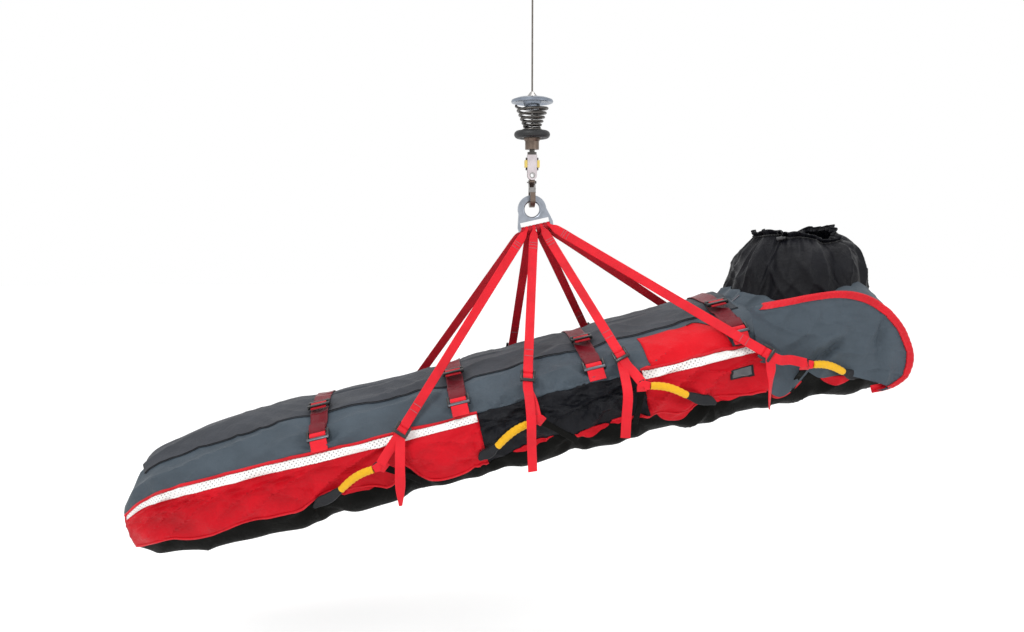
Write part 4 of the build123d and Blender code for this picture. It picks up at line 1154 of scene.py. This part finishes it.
def adjuster(piece, k, far, mat):
    """Webbing over the lock's middle bar, behind its foot bar, down to the loop's apex."""
    _, buckle, run, face, _ = leg_frame(k, far)
    hold = buckle + run * (2 * LOCK_PITCH)
    middle = buckle + run * LOCK_PITCH
    u, w = LOOP_APEX[k]
    apex = flip(near_side(u, w, APEX_OUT), far)
    down = unit(apex - hold)
    outside = np.array([0, 1.0 if far else -1.0, 0])
    over = [(middle, -0.010, -0.0020), (middle, -0.006, 0.0030), (middle, 0, 0.0056), (middle, 0.006, 0.0044),
            (hold, -0.004, 0.0026), (hold, 0.006, 0.0018)]
    points = [spot + run * on + face * lift for spot, on, lift in over]
    points += [hold + run * 0.016 + down * 0.006, hold + (apex - hold) * 0.55,
               apex + outside * 0.007 - down * 0.006]
    normals = [face] * 6 + [unit(face + outside), outside, outside]
    strap(piece, np.array(points), np.array(normals), [WIDE] * 9, thick=WEB * 0.9, step=0.003,
          wave=0.001, seed=k + 3 * far, mat=mat)


def tails():
    """Free webbing ends, each on its own hinge, cut to a point or square."""
    for far, side_name in ((False, "near"), (True, "far")):
        side = 1 if far else -1
        for k in range(4):
            node = f"strap_tail_{side_name}_{k + 1}"
            _, buckle, run, _, _ = leg_frame(k, far)
            world = BAG @ Vector(buckle + run * (LOCK_PITCH * 1.6))
            top = np.array([world.x, world.y + side * 0.014, world.z])
            u, w = LOOP_APEX[k]
            clear = side * (abs(near_side(u, w, APEX_OUT)[1]) + 0.017)
            length = TAIL_LENGTHS[k]
            bend = min(length * 0.45, 0.080)
            x, z = top[0], top[2]
            sway = 0.006 * math.sin(k * 2.1 + far)
            points = [top + np.array([0, -side * 0.0100, 0.001]), top + np.array([0, -side * 0.0085, -0.009]),
                      np.array([x, (top[1] - side * 0.004 + clear) / 2, z - bend * 0.55]),
                      np.array([x, clear, z - bend]),
                      np.array([x + sway * 0.4, clear - side * 0.0015, z - length * 0.74]),
                      np.array([x + sway * 0.8, clear, z - length + 0.001])]
            tip = 0.35 if k in (0, 3) else 1.0
            widths = [WIDE] * 5 + [WIDE * tip]
            twist = (0.30, 0.26, -0.16, 1.4)[k]
            turns = [0, 0, 0, 0.6 * twist, twist, twist]
            normals = np.array([[turn, side, 0.05] for turn in turns], float)
            strip = Piece(local=False)
            strap(strip, np.array(points), normals, widths, thick=WEB * 0.85, step=0.005, wave=0.002,
                  seed=k * 1.7)
            # Far tails take the darker copy of the webbing: painted shade.
            key = "sling_dark_red" if far else "sling_red"
            body = f"tail_{side_name}_{k + 1}"
            strip.build(f"{body}_web", [looks[key]], body, key, [node])


def loops():
    """Carrying loops: red webbing at the apex, a sleeved grip, then a dark tab into the seam."""
    web, grips = Piece(), Piece()
    for k in range(4):
        (ua, wa), (ub, wb) = LOOP_ENDS[k]
        a, b = near_side(ua, wa, END_OUT), near_side(ub, wb, END_OUT)
        apex = near_side(*LOOP_APEX[k], APEX_OUT)
        end, other = (a, b) if GRIP_ON_FOOT_SIDE[k] else (b, a)
        run, lead = unit(end - apex), unit(other - apex)
        first, last = apex + run * 0.022, apex + run * (0.022 + GRIP_LENGTH)
        rise = np.array([0, -0.5, 1.0])
        for far in (False, True):
            outside = np.array([0, 1.0 if far else -1.0, 0])

            def band(points, widths, **settings):
                placed = np.array([flip(p, far) for p in points])
                strap(web, placed, np.array([outside] * len(points)), widths, **settings)

            root = near_side(float(end[0]), float(end[2]), 0.0030)
            band([last - run * 0.006, last + run * 0.010, last + (root - last) * 0.45 - rise * 0.003,
                  last + (root - last) * 0.8, root - np.array([0, 0, 0.004])],
                 [0.016, 0.021, 0.029, 0.026, 0.010], thick=0.0060, step=0.005, mat=1,
                 wave=0.005, seed=k * 2.3)
            band([apex + lead * 0.016, apex + outside * 0.001, first + run * 0.006],
                 [0.025, 0.023, 0.014], thick=0.0045, step=0.004, mat=1)
            band([apex + lead * 0.022 + outside * 0.002, apex + lead * 0.004 + outside * 0.004,
                  apex + run * 0.020 + outside * 0.0042],
                 [0.026, 0.027, 0.019], thick=0.003, step=0.004, mat=0)
            middle = near_side(float((apex[0] + other[0]) / 2), float((apex[2] + other[2]) / 2), 0.018)
            foot = near_side(float(other[0]), float(other[2]), 0.001)
            band([apex + lead * 0.010, apex + lead * 0.035, middle, foot],
                 [0.020, 0.018, 0.016, 0.018], thick=0.0026, step=0.005, wave=0.005, seed=k, mat=2)
            t = np.linspace(0, 1, 40)
            line = first + (last - first) * t[:, None] + rise * (0.009 * np.sin(np.pi * t))[:, None]
            line = np.array([flip(p, far) for p in line])
            radius = 0.0100 * (0.88 + 0.12 * np.sin(np.pi * np.clip(t, 0.02, 0.98)) ** 0.4)
            radius = radius + 0.0005 * np.sin(t * 52 + k) + 0.0004 * noise_at(t * 30, k, 9.0)
            tube(grips, line, radius, sides=24, smooth=False)
    web.sew("loop_webbing", ("sling_red", "tab_grey", "base_black"), ["carry_loops"])
    grips.sew("grip_sleeves", "grip_yellow", ["carry_grips"])


CRESCENTS = [(-0.520, 0.105, 0.22), (-0.040, 0.110, 0.20), (0.118, 0.095, 0.30), (0.225, 0.110, 0.12),
             (0.345, 0.100, 0.42), (0.462, 0.120, 0.22), (0.648, 0.100, 0.55), (0.800, 0.100, 0.36)]


def crescents():
    """Red half-moon patches at the base seam, where the loops are sewn in."""
    moons = Piece()
    for centre, length, depth in CRESCENTS:
        rows = []
        for x in np.linspace(-1, 1, 22):
            u = centre + x * length / 2
            seam = float(seam_rail(u)) + 0.02 if u < NECK_U else 3.0
            drop = depth * (1 - x * x) ** 0.8 * (1 - 0.35 * x) + 0.02
            i = np.linspace(seam - drop, seam, 8)
            rows.append((head_skin if u > 0.61 else skin)(np.full_like(i, u), -i, 0.0022))
        points = np.array(rows)[:, ::-1]
        moons.grid(points, metric_uv(points))
        mirror = points * [1, -1, 1]
        moons.grid(mirror[:, ::-1], metric_uv(mirror))
    moons.sew("seam_crescents", "panel_red", thick=0.0018)


def compression():
    """Wide straps over the flap, their locks, and the sewn tabs that hold the lower locks."""
    bands, locks, tabs = Piece(), Piece(), Piece()
    knots = [0.0, 0.17, 0.335, 0.5, 0.665, 0.83, 1.0]
    lifts = [0.0060, 0.0085, 0.0165, 0.0205, 0.0165, 0.0085, 0.0060]
    for u in STRAPS_U:
        patch(bands, u - STRAP_HALF, u + STRAP_HALF, -7.05, -12.95, out=lambda t: curve(knots, lifts, t),
              rail_step=0.06, step=0.0046)
        for far in (False, True):
            spot, along, up, out = skin_frame(u, 6.75)
            centre = spot + out * 0.008

            def folded(offsets, width, mat, thick=0.0024):
                placed = np.array([flip(centre + up * rise + out * lift, far) for rise, lift in offsets])
                strap(tabs, placed, np.array([flip(out, far)] * len(offsets)), width, thick=thick, step=0.0025,
                      mat=mat)

            ladder_lock(locks, flip(centre, far), along, flip(up, far), flip(out, far), STRAP_HALF, LOCK_PITCH,
                        lip=0.0042, grey_lip=True)
            folded([(0.036, 0.001), (0.018, 0.0042), (0.010, 0.0030), (0.007, 0.0005)],
                   2 * STRAP_HALF - 0.003, 1)
            folded([(0.0075, 0.0005), (0.0035, 0.0052), (0, 0.0062), (-0.005, 0.0040), (-0.0085, 0.0008)],
                   2 * STRAP_HALF - 0.004, 0)
            folded([(-0.0165, 0.0035), (-0.021, 0.001), (-0.030, -0.0045), (-0.044, -0.0062)],
                   2 * STRAP_HALF - 0.002, 0, 0.0026)
        spot, along, up, out = skin_frame(u, 8.45)
        high = spot + out * 0.0185
        ladder_lock(locks, high, along, up, out, STRAP_HALF, LOCK_PITCH, lip=0.0050)
        ladder_lock(locks, high, along, -up, out, STRAP_HALF, LOCK_PITCH, lip=0.0040)
        humps = [(-0.024, 0), (-0.009, 0.002), (-0.003, 0.0062), (0.004, 0.0060), (0.010, 0.002), (0.024, 0)]
        strap(tabs, np.array([high + up * rise + out * lift for rise, lift in humps]), np.array([out] * 6),
              2 * STRAP_HALF - 0.004, thick=0.0024, step=0.0025, mat=2)
    bands.sew("wide_straps", "strap_red", ["compression_straps"], thick=0.0022)
    locks.sew("strap_locks", ("buckle_black", "buckle_metal"), ["lower_ladder_locks", "upper_ladder_locks"],
              "buckle_metal")
    tabs.sew("strap_folds", ("sling_red", "strap_red", "sling_dark_red"), ["strap_tabs"], "strap_red")


sling()
tails()
loops()
crescents()
compression()


# ---- CAD pieces that stay, with their own materials
def dress():
    own = {part["node"]: part["material_slot"] for part in frame["record"]["subparts"]}
    for name, thing in frame["nodes"].items():
        look = looks.get(own[name])
        if look is None:
            continue
        for k in range(len(thing.material_slots)):
            thing.material_slots[k].material = look


dress()
